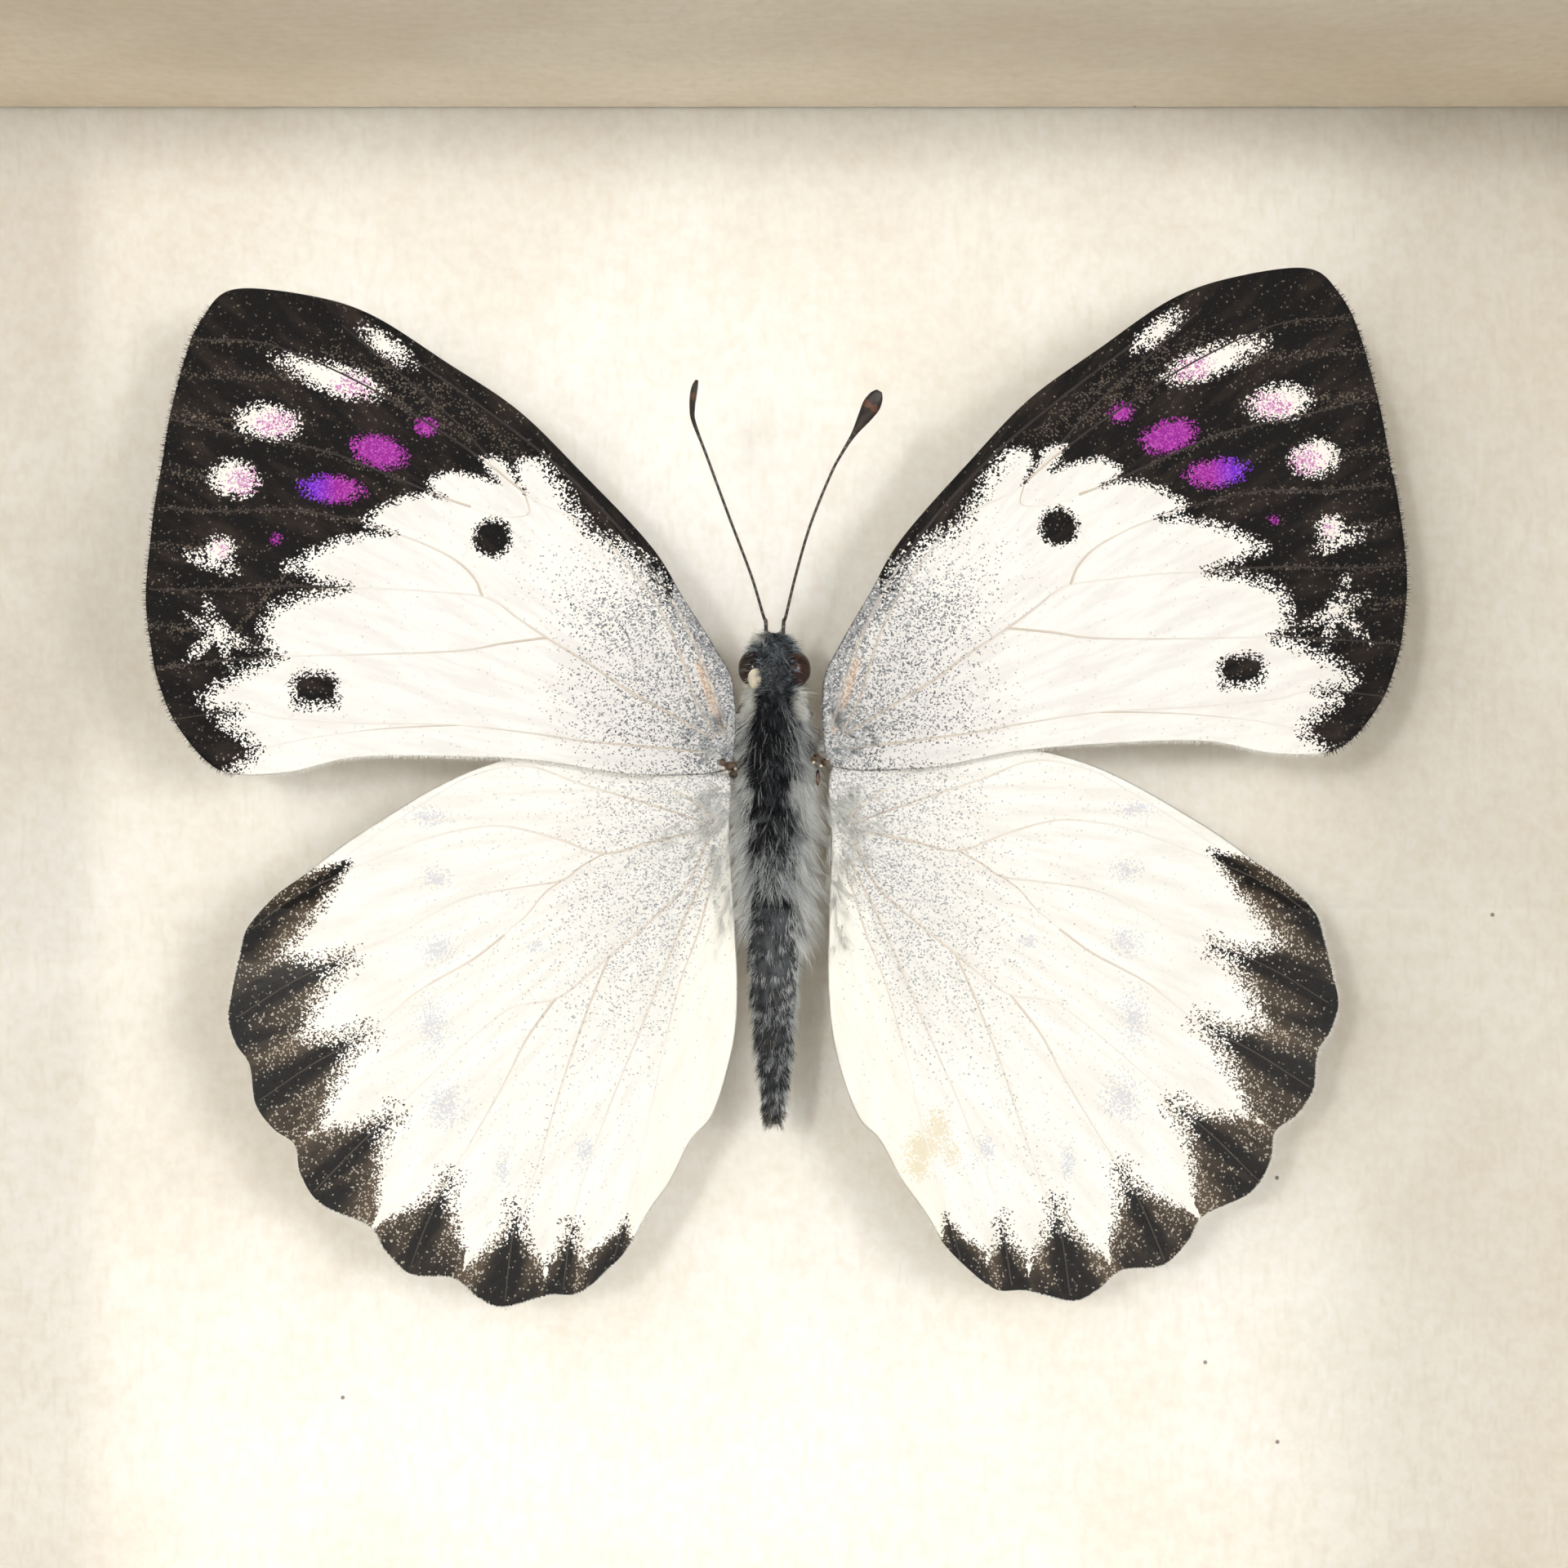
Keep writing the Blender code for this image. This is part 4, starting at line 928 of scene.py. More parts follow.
def scale_gloss(tree, shader, height, bend):
    """The dry surface of the scales: duller at the edge of each cell, with the streaks in low relief."""
    dent = put(tree, "Bump", {"Height": bend, "Strength": 0.3, "Distance": 0.00006}).outputs[0]
    feed(tree, shader, {
        "Normal": dent,
        "Roughness": remap(tree, height, to_low=0.9, to_high=0.68),
        "Specular IOR Level": 0.2,
    })


def hindwing_scales(name, stained):
    """Warm white scales with long faint folds, grey dusting at the root, and the grizzled border wedges."""
    made, tree, shader = surface(name)
    broad = powder(tree, 0.0, SCALE_GRAIN)
    fine = powder(tree, 0.31, FINE_GRAIN)
    streak = long_streaks(tree, 26.0, 2.0)
    band = remap(tree, streak, 0.36, 0.68)
    white = laid_over(tree, band, (246, 244, 238), (236, 232, 223))
    white = laid_over(tree, times(tree, broad["Third"], 0.12), white, (226, 220, 206))
    white = laid_over(tree, times(tree, mark(tree, "inner"), 0.4), white, (248, 243, 226))
    white = laid_over(tree, times(tree, mark(tree, "shade"), 0.55), white, (216, 213, 208))
    dust_tone = laid_over(tree, fine["Third"], (140, 139, 141), (206, 204, 201))
    white = laid_over(tree, passes(tree, "dust", fine["First"], 0.5), white, dust_tone)
    grey = times(tree, passes(tree, "grey", fine["Second"], 0.5), 0.5)
    white = laid_over(tree, grey, white, (184, 186, 198))
    if stained:
        seep = times(tree, passes(tree, "stain", fine["Second"], 0.4), 0.6)
        white = laid_over(tree, seep, white, (222, 206, 166))
    tone = maths(tree, "ADD", mark(tree, "axis"), times(tree, streak, 1.1))
    brown = remap(tree, tone, 0.74, 1.3)
    dark = laid_over(tree, brown, (14, 10, 9), (84, 70, 55))
    pale_share = maths(tree, "SUBTRACT", times(tree, brown, 0.2), 0.48)
    crumb = times(tree, passes(tree, pale_share, fine["Second"], 0.5), 0.75)
    dark = laid_over(tree, crumb, dark, (206, 196, 178))
    wedge = passes(tree, "ink", fine["First"], mark(tree, "loose"))
    tree.links.new(laid_over(tree, wedge, white, dark), shader.inputs["Base Color"])
    scale_gloss(tree, shader, broad["Height"], streak)
    return made


def hindwing_fields(p, right):
    """The hindwing's markings as fields: depth in the border wedges, which open from their tip to the margin
    by the 1.4 power of the way along, less the pale notch lines; density of grey dust; spots and stain."""
    ink = np.full(len(p), -9.0)
    axis = np.zeros(len(p))
    for k, (tip, foot, half) in enumerate(WEDGES_MM):
        tip, foot = np.array(tip), np.array(foot)
        way = foot - tip
        long = np.hypot(*way)
        way = way / long
        s = (p - tip) @ way
        t = np.abs((p - tip) @ np.array((-way[1], way[0])))
        share = np.clip(s / long, 0, 1.3)
        open_to = half * 1.06 * share ** (1.4 if k else 0.85)
        deep = np.where(s > 0, np.minimum(open_to - t, s * 0.6), -np.hypot(t, s) * 0.8)
        axis = np.where(deep > ink, np.clip(t / (open_to + 0.3), 0, 1), axis)
        ink = np.maximum(ink, deep)
    for notch in NOTCHES_MM:
        root = np.array((12.0, -12.0))
        line = np.array([notch, notch + (root - notch) * 0.07])
        ink = ink - 0.9 * bell(gap_to(p, line), 0.13)
    rim_line = rounded_route(HINDWING_OUTLINE_MM, 6, closed=True)
    margin = gap_to(p, np.vstack([rim_line, rim_line[:1]]))
    reach = np.hypot(p[:, 0] - 2.2, p[:, 1] + 3.2)
    lean = ((p[:, 0] - 2.2) * 0.5 - (p[:, 1] + 3.2) * 0.86) / (reach + 1e-6)
    stretched = reach / (1 + 0.75 * np.clip(lean, 0, 1) ** 6)
    dust = 0.56 * np.clip(1.06 - stretched / 9.0, 0, 1) ** 1.4
    dust = dust + 0.02 * bell(stretched - 10, 4)
    strip_edge = np.interp(p[:, 1], [-27, -20, -12, -5.6, 0], [8.3, 6.7, 4.9, 2.9, 2.2])
    strip = 1 / (1 + np.exp((p[:, 0] - strip_edge) / 0.25))
    dust = dust * (1 - 0.93 * strip * (p[:, 1] < -3))
    dust = np.maximum(dust, 0.5 * bell(np.hypot(p[:, 0] - 2.6, p[:, 1] + 2.4), 1.5))
    dust = np.maximum(dust, 0.07 * bell(gap_to(p, HINDWING_VEINS_MM["sixth"]), 0.6))
    grey = np.full(len(p), -0.5)
    for x, z, wide, high in GREY_SPOTS_MM:
        grey = np.maximum(grey, bump_at(*p.T, x, z, wide, high) * 0.85 - 0.5)
    stain = np.full(len(p), -1.0)
    if right:
        for x, z, wide, high in STAIN_MM:
            stain = np.maximum(stain, spot(p, x, z, wide, high))
    return {
        "ink": ink, "axis": axis, "loose": 0.20 + 0.75 * np.clip((margin - 0.6) / 4.0, 0, 1), "dust": dust - 0.5,
        "grey": grey, "inner": strip, "stain": stain, "shade": np.clip(1.1 - stretched / 8.5, 0, 1) * (1 - strip),
    }


def hindwing_relief(p, vein_gap, seed):
    """Height of the hindwing's surface: low ridges at the veins, pleats along the inner strip, fine folds that
    fan out from the root, and a slow roll of the whole sheet."""
    reach = np.hypot(p[:, 0] - 2.2, p[:, 1] + 2.0)
    turn = np.arctan2(p[:, 1] + 2.0, p[:, 0] - 1.2)
    clear = np.clip((-p[:, 1] - 1.5) / 2.5, 0, 1)
    fan = np.sin(turn * 52 + seed) + 0.6 * np.sin(turn * 87 + 2 * seed)
    inner = 1 / (1 + np.exp((p[:, 0] - 6.0 - 0.15 * (-p[:, 1])) / 0.8)) * np.clip((-p[:, 1] - 4) / 4, 0, 1)
    relief = 0.05 * bell(vein_gap, 0.45) + 0.016 * fan * np.clip(reach / 12, 0, 1) * clear
    relief = relief + 0.06 * inner * np.sin((p[:, 0] - 0.1 * p[:, 1]) * 4.2 + seed)
    return relief + (0.05 + 0.10 * clear) * ripple(p[:, 0], p[:, 1], seed, (0.03, 0.06, 0.12))


def turn_and_reach(p):
    """The sheet's own map: turn about the wing root and distance from it, in tens of millimetres."""
    return np.stack([np.arctan2(p[:, 1] + 2.0, p[:, 0] + 1.0), np.hypot(p[:, 0] + 1.0, p[:, 1] + 2.0) / 10.0], 1)


def vein_ribs(name, veins, widths, place, relief, fields, finish, slot):
    """Veins as thin ribs on the sheet: each is a low rounded strip, a half round of five points over a flat
    underside, carried along the vein and narrowing to its tip."""
    points, faces, marks = [], [], {}
    profile = np.array([(-1.0, -0.25), (-0.75, 0.55), (0.0, 1.0), (0.75, 0.55), (1.0, -0.25)])
    for vein, route in veins.items():
        line = rounded_route(route, 14)
        way = np.gradient(line, axis=0)
        way /= np.hypot(*way.T)[:, None] + 1e-9
        aside = np.stack([-way[:, 1], way[:, 0]], 1)
        along = np.linspace(0, 1, len(line))
        half = widths.get(vein, 0.075) * (1 - 0.55 * along)
        flat = line[:, None] + aside[:, None] * (half[:, None] * profile[:, 0])[:, :, None]
        flat = flat.reshape(-1, 2)
        lift = relief(flat) + 0.06 + np.tile(profile[:, 1], len(line)) * np.repeat(half, 5) * 0.55
        start = sum(len(q) for q in points)
        points.append(place(flat, lift))
        count = len(line)
        faces.append(lattice(count, 5, first=start))
        tips = np.array([np.arange(5)[::-1], (count - 1) * 5 + np.arange(5)]) + start
        faces.append(tips)
        for key, values in fields(flat).items():
            marks.setdefault(key, []).append(values)
        marks.setdefault("along", []).append(np.repeat(along, 5))
    points = np.vstack(points)
    marks = {key: np.concatenate(values) for key, values in marks.items()}
    return piece(name, points * MM, outward(points, faces), finish, slot, fields=marks)


def vein_finish(name, near, far, dark):
    """Vein skin: tan at the root, fading to the white of the sheet, and dark brown where the scales are black."""
    made, tree, shader = surface(name)
    along = mark(tree, "along")
    place = put(tree, "TexCoord").outputs["Object"]
    uneven = noise(tree, place, 900.0, 4.0)
    faded = maths(tree, "ADD", along, times(tree, uneven, 0.5))
    tone = laid_over(tree, remap(tree, faded, 0.35, 0.85), near, far)
    cells = powder(tree, 0.0, SCALE_GRAIN)
    dusted = times(tree, passes(tree, "dust", cells["Second"], 0.5), 0.5)
    tone = laid_over(tree, dusted, tone, (120, 120, 124))
    tone = laid_over(tree, passes(tree, "ink", cells["First"], 0.25), tone, dark)
    feed(tree, shader, {"Base Color": tone, "Roughness": remap(tree, uneven, to_low=0.5, to_high=0.8)})
    return made


def margin_fringe(name, rim, pick, place, ink_at, white_tone, slot):
    """Fringe scales along the margin: short blades on the rim, leaning out square to it, each pale or dark as
    the marking behind it."""
    way = np.roll(rim, -1, 0) - np.roll(rim, 1, 0)
    way /= np.hypot(*way.T)[:, None]
    out = np.stack([way[:, 1], -way[:, 0]], 1)
    if ((rim - rim.mean(0)) * out).sum() < 0:
        out = -out
    chosen = np.nonzero(pick(rim))[0]
    chosen = np.repeat(chosen, 3)
    slide = seeded.uniform(-0.5, 0.5, len(chosen))[:, None] * (np.roll(rim, -1, 0) - rim)[chosen]
    foot = rim[chosen] + slide - out[chosen] * 0.06
    splay = out[chosen] + way[chosen] * seeded.normal(0, 0.25, len(chosen))[:, None]
    root = place(foot, 0.0 * foot[:, 0] + seeded.uniform(-0.02, 0.04, len(foot)))
    tip = place(foot + splay * 0.3, 0.0 * foot[:, 0])
    lean = tip - root
    length = seeded.uniform(0.16, 0.34, len(foot))
    dark = (ink_at(foot - out[chosen] * 0.25) > 0.0) & (seeded.uniform(0, 1, len(foot)) > 0.3)
    tone = np.where(dark, 0.12, white_tone) + seeded.normal(0, 0.05, len(foot))
    warm = np.where(dark, 0.5, 0.35)
    still = np.zeros((len(foot), 3))
    return fur(name, root, lean, length, np.full(len(foot), 0.02), still, np.clip(tone, 0, 1), warm,
               SPECIMEN_HAIR, slot)


def root_hair(name, spots, place, relief, lengths, look, slot, width=0.012):
    """Hair on the root of a wing: tufts in egg-shaped patches (middle, half sizes, the way they point, how
    many), lying close to the sheet with their tips raised a little."""
    feet, leans = [], []
    for x, z, wide, high, way, count in spots:
        tufts = max(4, count // 9)
        tuft = seeded.integers(0, tufts, count)
        middle = seeded.normal(0, 0.5, (tufts, 2)) * (wide, high) + (x, z)
        feet.append(middle[tuft] + seeded.normal(0, 0.07, (count, 2)))
        bend = math.radians(way) + seeded.normal(0, 0.33, tufts)[tuft] + seeded.normal(0, 0.12, count)
        leans.append(np.stack([np.cos(bend), np.sin(bend)], 1))
    feet, leans = np.vstack(feet), np.vstack(leans)
    feet[:, 0] = np.maximum(feet[:, 0], 1.7)
    count = len(feet)
    root = place(feet, relief(feet) + 0.02)
    tip = place(feet + leans * 0.5, relief(feet) + seeded.uniform(0.10, 0.4, count))
    length = seeded.uniform(*lengths, count)
    curl = np.stack([seeded.normal(0, 0.1, count), 0 * length, -0.12 * length], 1)
    tone, warm = look(feet)
    tone = np.clip(tone + seeded.normal(0, 0.1, count), 0, 1)
    fur(name, root, tip - root, length, np.full(count, width), curl, tone, warm, SPECIMEN_HAIR, slot)


def wing(kind, word, form, veined, pose, relief_of, fields_of, scales, haired, fringed):
    """One wing. form: outline and middle; veined: veins, widths and finish; pose: lift, rise, side, turn,
    shift and seed; haired: tufts, lengths and look; fringed: which stretch of the rim, and where it is dark."""
    name, slot = f"{kind}_{word}", kind + "_scales"
    lift, rise, side, turn, shift, seed = pose
    veins, widths, vein_skin = veined
    flat, face_side, faces, rim = membrane(*form)

    def place(p, up):
        return pinned(p, lift + up, side, turn, shift, rise)

    def relief(p):
        vein_gap = np.min([gap_to(p, rounded_route(v, 5)) for v in veins.values()], axis=0)
        return relief_of(p, vein_gap, seed)

    points = place(flat, relief(flat) + 0.06 * face_side)
    piece(name + "_sheet", points * MM, outward(points, faces), scales, slot, (name,), uv=turn_and_reach(flat),
          fields=fields_of(flat, side > 0))
    vein_ribs(name + "_veins", veins, widths, place, relief,
              lambda p: {k: v for k, v in fields_of(p, False).items() if k in ("ink", "dust")}, vein_skin, slot)
    tufts, lengths, look = haired
    root_hair(name + "_root_hair", tufts, place, relief, lengths, look, slot, 0.008)
    pick, ink_at = fringed
    margin_fringe(name + "_fringe", rim, pick, place, ink_at, 0.97, slot)


HIND_VEIN = vein_finish("hindwing_veins", (216, 203, 187), (238, 234, 225), (60, 48, 38))
hind_vein_widths = {
    "humeral": 0.11, "costal": 0.07, "first": 0.075, "second": 0.06, "cell": 0.05, "fourth": 0.08, "inner": 0.06,
}
HIND_TUFTS = [
    (2.6, -3.2, 1.1, 1.5, -40, 380), (2.5, -6.0, 0.7, 2.0, -72, 340), (2.7, -9.0, 0.5, 1.6, -82, 120),
    (3.9, -4.2, 1.7, 1.4, -38, 200), (3.0, -2.2, 1.2, 0.6, -15, 140),
]
for word, side, turn, shift, seed in (("left", -1, 0.0, (0.0, 0.0), 1.3), ("right", 1, 0.030, (0.50, -0.05), 2.6)):
    wing("hindwing", word, (HINDWING_OUTLINE_MM, (14.0, -13.0)), (HINDWING_VEINS_MM, hind_vein_widths, HIND_VEIN),
         (HINDWING_LIFT, HINDWING_RISE, side, turn, shift, seed), hindwing_relief, hindwing_fields,
         hindwing_scales("hindwing_scales_" + word, side > 0),
         (HIND_TUFTS, (0.6, 1.4), lambda p: (1.0 + 0 * p[:, 0], 0.10 + 0 * p[:, 0])),
         (lambda p: (p[:, 1] < -6.0) & (p[:, 0] > 6.0),
          lambda p: np.minimum(hindwing_fields(p, False)["ink"], 0.0) - 0.2))

# The forewings: one thin sheet each, pointed, white with a black tip that holds magenta, violet and white
# spots. They lie over the front edges of the hindwings, a blue-grey dusting at their roots.
FOREWING_OUTLINE_MM = [
    (2.1, 3.3), (3.0, 5.2), (4.7, 7.9), (6.4, 10.6), (10.0, 14.4), (13.2, 17.5), (16.8, 19.9),
    (20.8, 22.4), (24.3, 23.4), (27.8, 23.6), (29.3, 22.2), (30.2, 20.2), (31.0, 17.0),
    (31.5, 14.0), (31.9, 11.4), (32.2, 7.8), (31.9, 5.0), (31.5, 3.3), (30.7, 1.4), (29.2, -0.5),
    (27.7, -1.25), (24.9, -1.15), (21.5, -0.4), (16.4, -0.35), (12.1, -0.55), (7.8, -1.2),
    (5.0, -1.25), (3.0, -1.1), (2.1, -0.4),
]
FOREWING_VEINS_MM = {
    "costal": [(2.5, 1.2), (3.2, 3.2), (4.3, 5.9), (6.0, 8.9), (8.4, 11.9), (11.5, 14.9), (15.0, 17.6), (18.6, 20.1)],
    "radial": [(3.0, 0.8), (4.0, 2.5), (4.7, 4.6), (5.5, 6.5), (6.5, 8.2), (7.7, 9.7), (8.7, 10.9), (10.4, 12.0),
               (11.6, 12.5), (12.8, 13.2), (14.2, 14.5), (16.3, 16.8), (19.7, 19.7), (22.2, 21.8)],
    "radial_two": [(12.8, 13.2), (14.7, 14.7), (17.2, 16.4), (21.4, 18.9), (26.0, 20.8), (29.8, 21.0)],
    "cell_end": [(12.8, 13.1), (12.6, 12.2), (13.3, 12.0), (14.5, 12.1), (15.6, 12.5)],
    "median": [(15.6, 12.5), (16.8, 12.9), (19.3, 13.9), (23.0, 15.3), (27.2, 16.1), (30.9, 16.9)],
    "median_two": [(14.5, 12.1), (15.2, 11.4), (16.1, 9.7)],
    "median_three": [(15.0, 7.9), (15.4, 8.8), (16.3, 9.7), (17.8, 10.5), (19.4, 11.1), (21.4, 11.7), (24.7, 12.3),
                     (28.5, 12.2), (31.4, 12.4)],
    "cubital": [(3.1, 0.6), (5.2, 1.8), (7.7, 3.2), (9.6, 4.5), (11.7, 5.8), (13.2, 6.8), (14.1, 7.5), (15.0, 7.9),
                (16.9, 8.1), (20.0, 8.3), (21.8, 8.3), (25.1, 8.4), (28.9, 8.2), (31.9, 8.2)],
    "cubital_two": [(11.7, 5.8), (13.9, 5.5), (16.3, 5.1), (21.0, 4.9), (25.3, 4.8), (28.9, 4.5), (31.6, 4.2)],
    "anal": [(3.3, -0.1), (7.7, 0.3), (9.9, 0.5), (12.6, 0.9), (16.3, 1.3), (21.0, 1.4), (25.1, 1.6), (27.4, 2.0),
             (30.5, 1.6)],
    "anal_low": [(16.3, 1.3), (20.1, 1.1), (23.9, 0.6), (26.6, 0.0)],
}
BLACK_TIP_MM = [
    (4.1, 9.3), (5.9, 9.1), (7.0, 9.9), (7.7, 10.4), (8.6, 10.8), (9.5, 11.3), (10.1, 12.1), (10.5, 12.6),
    (10.9, 13.4), (11.5, 14.2), (12.1, 14.9), (12.8, 15.0), (13.2, 14.8), (13.2, 14.1), (12.8, 13.2), (13.4, 14.0),
    (13.9, 14.8), (14.4, 15.1), (15.0, 15.0), (14.7, 14.5), (14.1, 13.7), (15.0, 14.0), (15.9, 14.2), (16.8, 14.3),
    (17.8, 13.8), (17.5, 13.3), (16.8, 12.9), (17.8, 13.1), (18.9, 13.0), (20.0, 12.5), (21.0, 11.8), (20.7, 11.4),
    (19.4, 11.1), (20.7, 11.1), (22.4, 10.7), (23.9, 10.0), (24.9, 9.4), (24.2, 9.2), (23.3, 8.7), (21.8, 8.3),
    (23.5, 8.0), (24.9, 7.6), (25.8, 7.1), (26.1, 6.3), (26.1, 5.4), (25.3, 4.8), (26.4, 4.4), (27.4, 3.9),
    (28.5, 3.2), (29.3, 2.6), (28.8, 2.1), (27.4, 2.0), (28.4, 1.5), (27.9, 1.1), (27.2, 0.6), (26.6, 0.0),
    (27.0, -0.5), (27.8, -1.1), (28.5, -2.4), (33.5, 0.8), (33.5, 24.7), (10.5, 24.9),
]
WHITE_SPOTS_MM = [
    (19.9, 20.7, 1.15, 0.42, 35), (22.5, 19.0, 2.0, 0.68, 17), (23.5, 19.5, 1.6, 0.42, 14), (26.0, 16.8, 1.45, 0.82, 6),
    (27.7, 13.9, 1.1, 0.86, 8), (28.4, 10.2, 0.65, 0.62, 50), (28.5, 6.05, 0.45, 0.52, 0), (28.4, 6.0, 0.85, 0.18, 25),
    (28.5, 6.0, 0.18, 0.85, -20), (29.2, 5.4, 0.55, 0.15, -45), (28.9, 9.6, 0.8, 0.26, 20),
]
PINK_SPOTS_MM = [
    (21.7, 18.7, 0.9, 0.55, 15), (25.6, 16.7, 1.0, 0.62, 0), (27.3, 13.8, 0.8, 0.66, 0), (28.3, 10.3, 0.35, 0.35, 0),
]
MAGENTA_SPOTS_MM = [
    (20.3, 15.3, 1.35, 0.78, 14), (17.9, 16.6, 0.5, 0.42, 0), (22.7, 13.35, 1.45, 0.66, 4), (25.5, 10.8, 0.18, 0.18, 0),
]
FOREWING_LIFT = 7.0
FOREWING_RISE = 0.05


def forewing_scales(name):
    """Cool white scales, blue-grey dusting, the black-brown tip with its streaks, and the coloured spots."""
    made, tree, shader = surface(name)
    broad = powder(tree, 0.0, SCALE_GRAIN)
    fine = powder(tree, 0.31, FINE_GRAIN)
    streak = long_streaks(tree, 30.0, 2.6)
    band = remap(tree, streak, 0.40, 0.64)
    white = laid_over(tree, band, (245, 242, 235), (234, 230, 224))
    white = laid_over(tree, times(tree, broad["Third"], 0.14), white, (228, 223, 216))
    white = laid_over(tree, times(tree, mark(tree, "shade"), 0.8), white, (204, 200, 198))
    dust_tone = laid_over(tree, fine["Third"], (84, 87, 92), (182, 181, 180))
    white = laid_over(tree, passes(tree, "dust", fine["First"], 0.5), white, dust_tone)
    white = laid_over(tree, times(tree, mark(tree, "tan"), 0.6), white, (206, 168, 130))
    brown = remap(tree, streak, 0.46, 0.74, to_high=0.8)
    dark = laid_over(tree, brown, (12, 8, 7), (48, 38, 32))
    crumb = passes(tree, maths(tree, "SUBTRACT", times(tree, brown, 0.02), 0.492), fine["Second"], 0.5)
    dark = laid_over(tree, times(tree, crumb, 0.8), dark, (170, 160, 146))
    rub = passes(tree, "rubbed", fine["Third"], 0.5)
    dark = laid_over(tree, times(tree, rub, 0.55), dark, (120, 108, 94))
    dark = laid_over(tree, passes(tree, "pale", fine["First"], 0.34), dark, (240, 235, 228))
    pink_tone = laid_over(tree, fine["Third"], (176, 92, 160), (226, 182, 208))
    dark = laid_over(tree, passes(tree, "pink", fine["Second"], 0.55), dark, pink_tone)
    violet = mark(tree, "violet")
    deep = laid_over(tree, violet, (146, 34, 142), (106, 30, 190))
    light = laid_over(tree, violet, (198, 100, 188), (170, 100, 218))
    # A painted glint: random cells of the magenta spots take a paler magenta, as scales catching the light.
    glint = remap(tree, fine["First"], 0.5, 1.0, to_high=0.75)
    dark = laid_over(tree, passes(tree, "magenta", fine["Second"], 0.24), dark, laid_over(tree, glint, deep, light))
    black = passes(tree, "ink", fine["First"], mark(tree, "loose"))
    tree.links.new(laid_over(tree, black, white, dark), shader.inputs["Base Color"])
    scale_gloss(tree, shader, broad["Height"], streak)
    return made


def forewing_fields(p, right):
    """The forewing's markings as fields: depth in the black tip, the round spot and the lower spot; depth in
    each coloured spot; density of the blue-grey dust along the front edge and at the root."""
    ink = depth_in(p, BLACK_TIP_MM)
    front = gap_to(p, rounded_route(FOREWING_OUTLINE_MM[:9], 8))
    edge_black = np.where((p[:, 0] > 5.2) & (p[:, 0] < 12), 0.42 + 0.02 * p[:, 0] - front, -9.0)
    ink = np.where(p[:, 0] < 12, np.maximum(np.minimum(ink, 1.5), edge_black), ink)
    ink = np.maximum(ink, spot(p, 14.5, 10.9, 0.98, 0.96))
    low = 0.66 - np.hypot(np.maximum(np.abs(p[:, 0] - 23.6) - 0.45, 0), np.maximum(np.abs(p[:, 1] - 3.2) - 0.06, 0))
    row = 0.16 - np.hypot(np.maximum(np.abs(p[:, 0] - 23.5) - 0.9, 0), np.maximum(np.abs(p[:, 1] - 2.55) - 0.1, 0))
    ink = np.maximum(ink, low)
    ink = np.maximum(ink, row - 0.12 * right)
    pale = np.max([spot(p, *s) for s in WHITE_SPOTS_MM], axis=0)
    pink = np.max([spot(p, *s) for s in PINK_SPOTS_MM], axis=0) - 0.28
    magenta = np.max([spot(p, *s) for s in MAGENTA_SPOTS_MM], axis=0)
    violet = np.clip((p[:, 0] - 22.4) / 1.2, 0, 1) * (np.abs(p[:, 0] - 23) < 2.2) * (np.abs(p[:, 1] - 13.3) < 1.3)
    reach = np.hypot(p[:, 0] - 2.0, (p[:, 1] - 1.5) * 1.05)
    band = np.clip(1.25 - front / 1.7, 0, 1) * np.clip((13.5 - p[:, 0]) / 5.0, 0, 1)
    dust = 0.67 * np.clip(1.08 - reach / 10.5, 0, 1) ** 1.4
    dust = np.maximum(dust, 0.88 * band)
    dust = dust + 0.30 * bump_at(*p.T, 7.8, 6.9, 1.9, 1.5)
    dust = dust + 0.10 * bump_at(*p.T, 9.8, 8.6, 2.4, 2.2)
    dust = dust * (1 - 0.75 * bell(p[:, 1] + 0.4, 0.5) * (p[:, 0] > 5))
    tan = bell(gap_to(p, [(2.6, 0.9), (3.3, 2.6), (3.9, 4.4)]), 0.16)
    rubbed = 0.10 * bell(gap_to(p, FOREWING_VEINS_MM["cubital"][9:]), 0.3)
    for vein in ("radial_two", "median", "median_three", "cubital", "cubital_two"):
        line = FOREWING_VEINS_MM[vein][-4:]
        rubbed = np.maximum(rubbed, 0.26 * bell(gap_to(p, line), 0.16))
    for x, z in ((22.6, 19.0), (26.0, 16.8), (27.7, 13.9), (28.4, 10.2), (28.5, 6.0)):
        rubbed = np.maximum(rubbed, 0.30 * bell(gap_to(p, [(x, z), (32.5, z + 0.4)]), 0.22))
    for x in (8.0, 10.5, 13.0):
        band_line = [(x + 5.4, x * 0.35 + 12.6), (x + 9.6, x * 0.35 + 15.9)]
        rubbed = np.maximum(rubbed, 0.22 * bell(gap_to(p, band_line), 0.5))
    loose = 0.24 + 0.34 * np.clip((p[:, 0] - 18) / 8, 0, 1) + 0.4 * (p[:, 0] < 12)
    loose = loose * (1 - 0.6 * bump_at(*p.T, 23.6, 3.2, 1.6, 1.1))
    if not right:
        rubbed = np.maximum(rubbed, 0.62 * bell(gap_to(p, [(24.6, 9.5), (27.6, 6.1)]), 0.10))
    return {
        "ink": ink, "loose": loose,
        "dust": dust - 0.5, "tan": tan, "rubbed": rubbed - 0.5, "pale": pale, "pink": pink, "magenta": magenta,
        "violet": violet, "shade": np.clip(1.05 - reach / 10.0, 0, 1),
    }


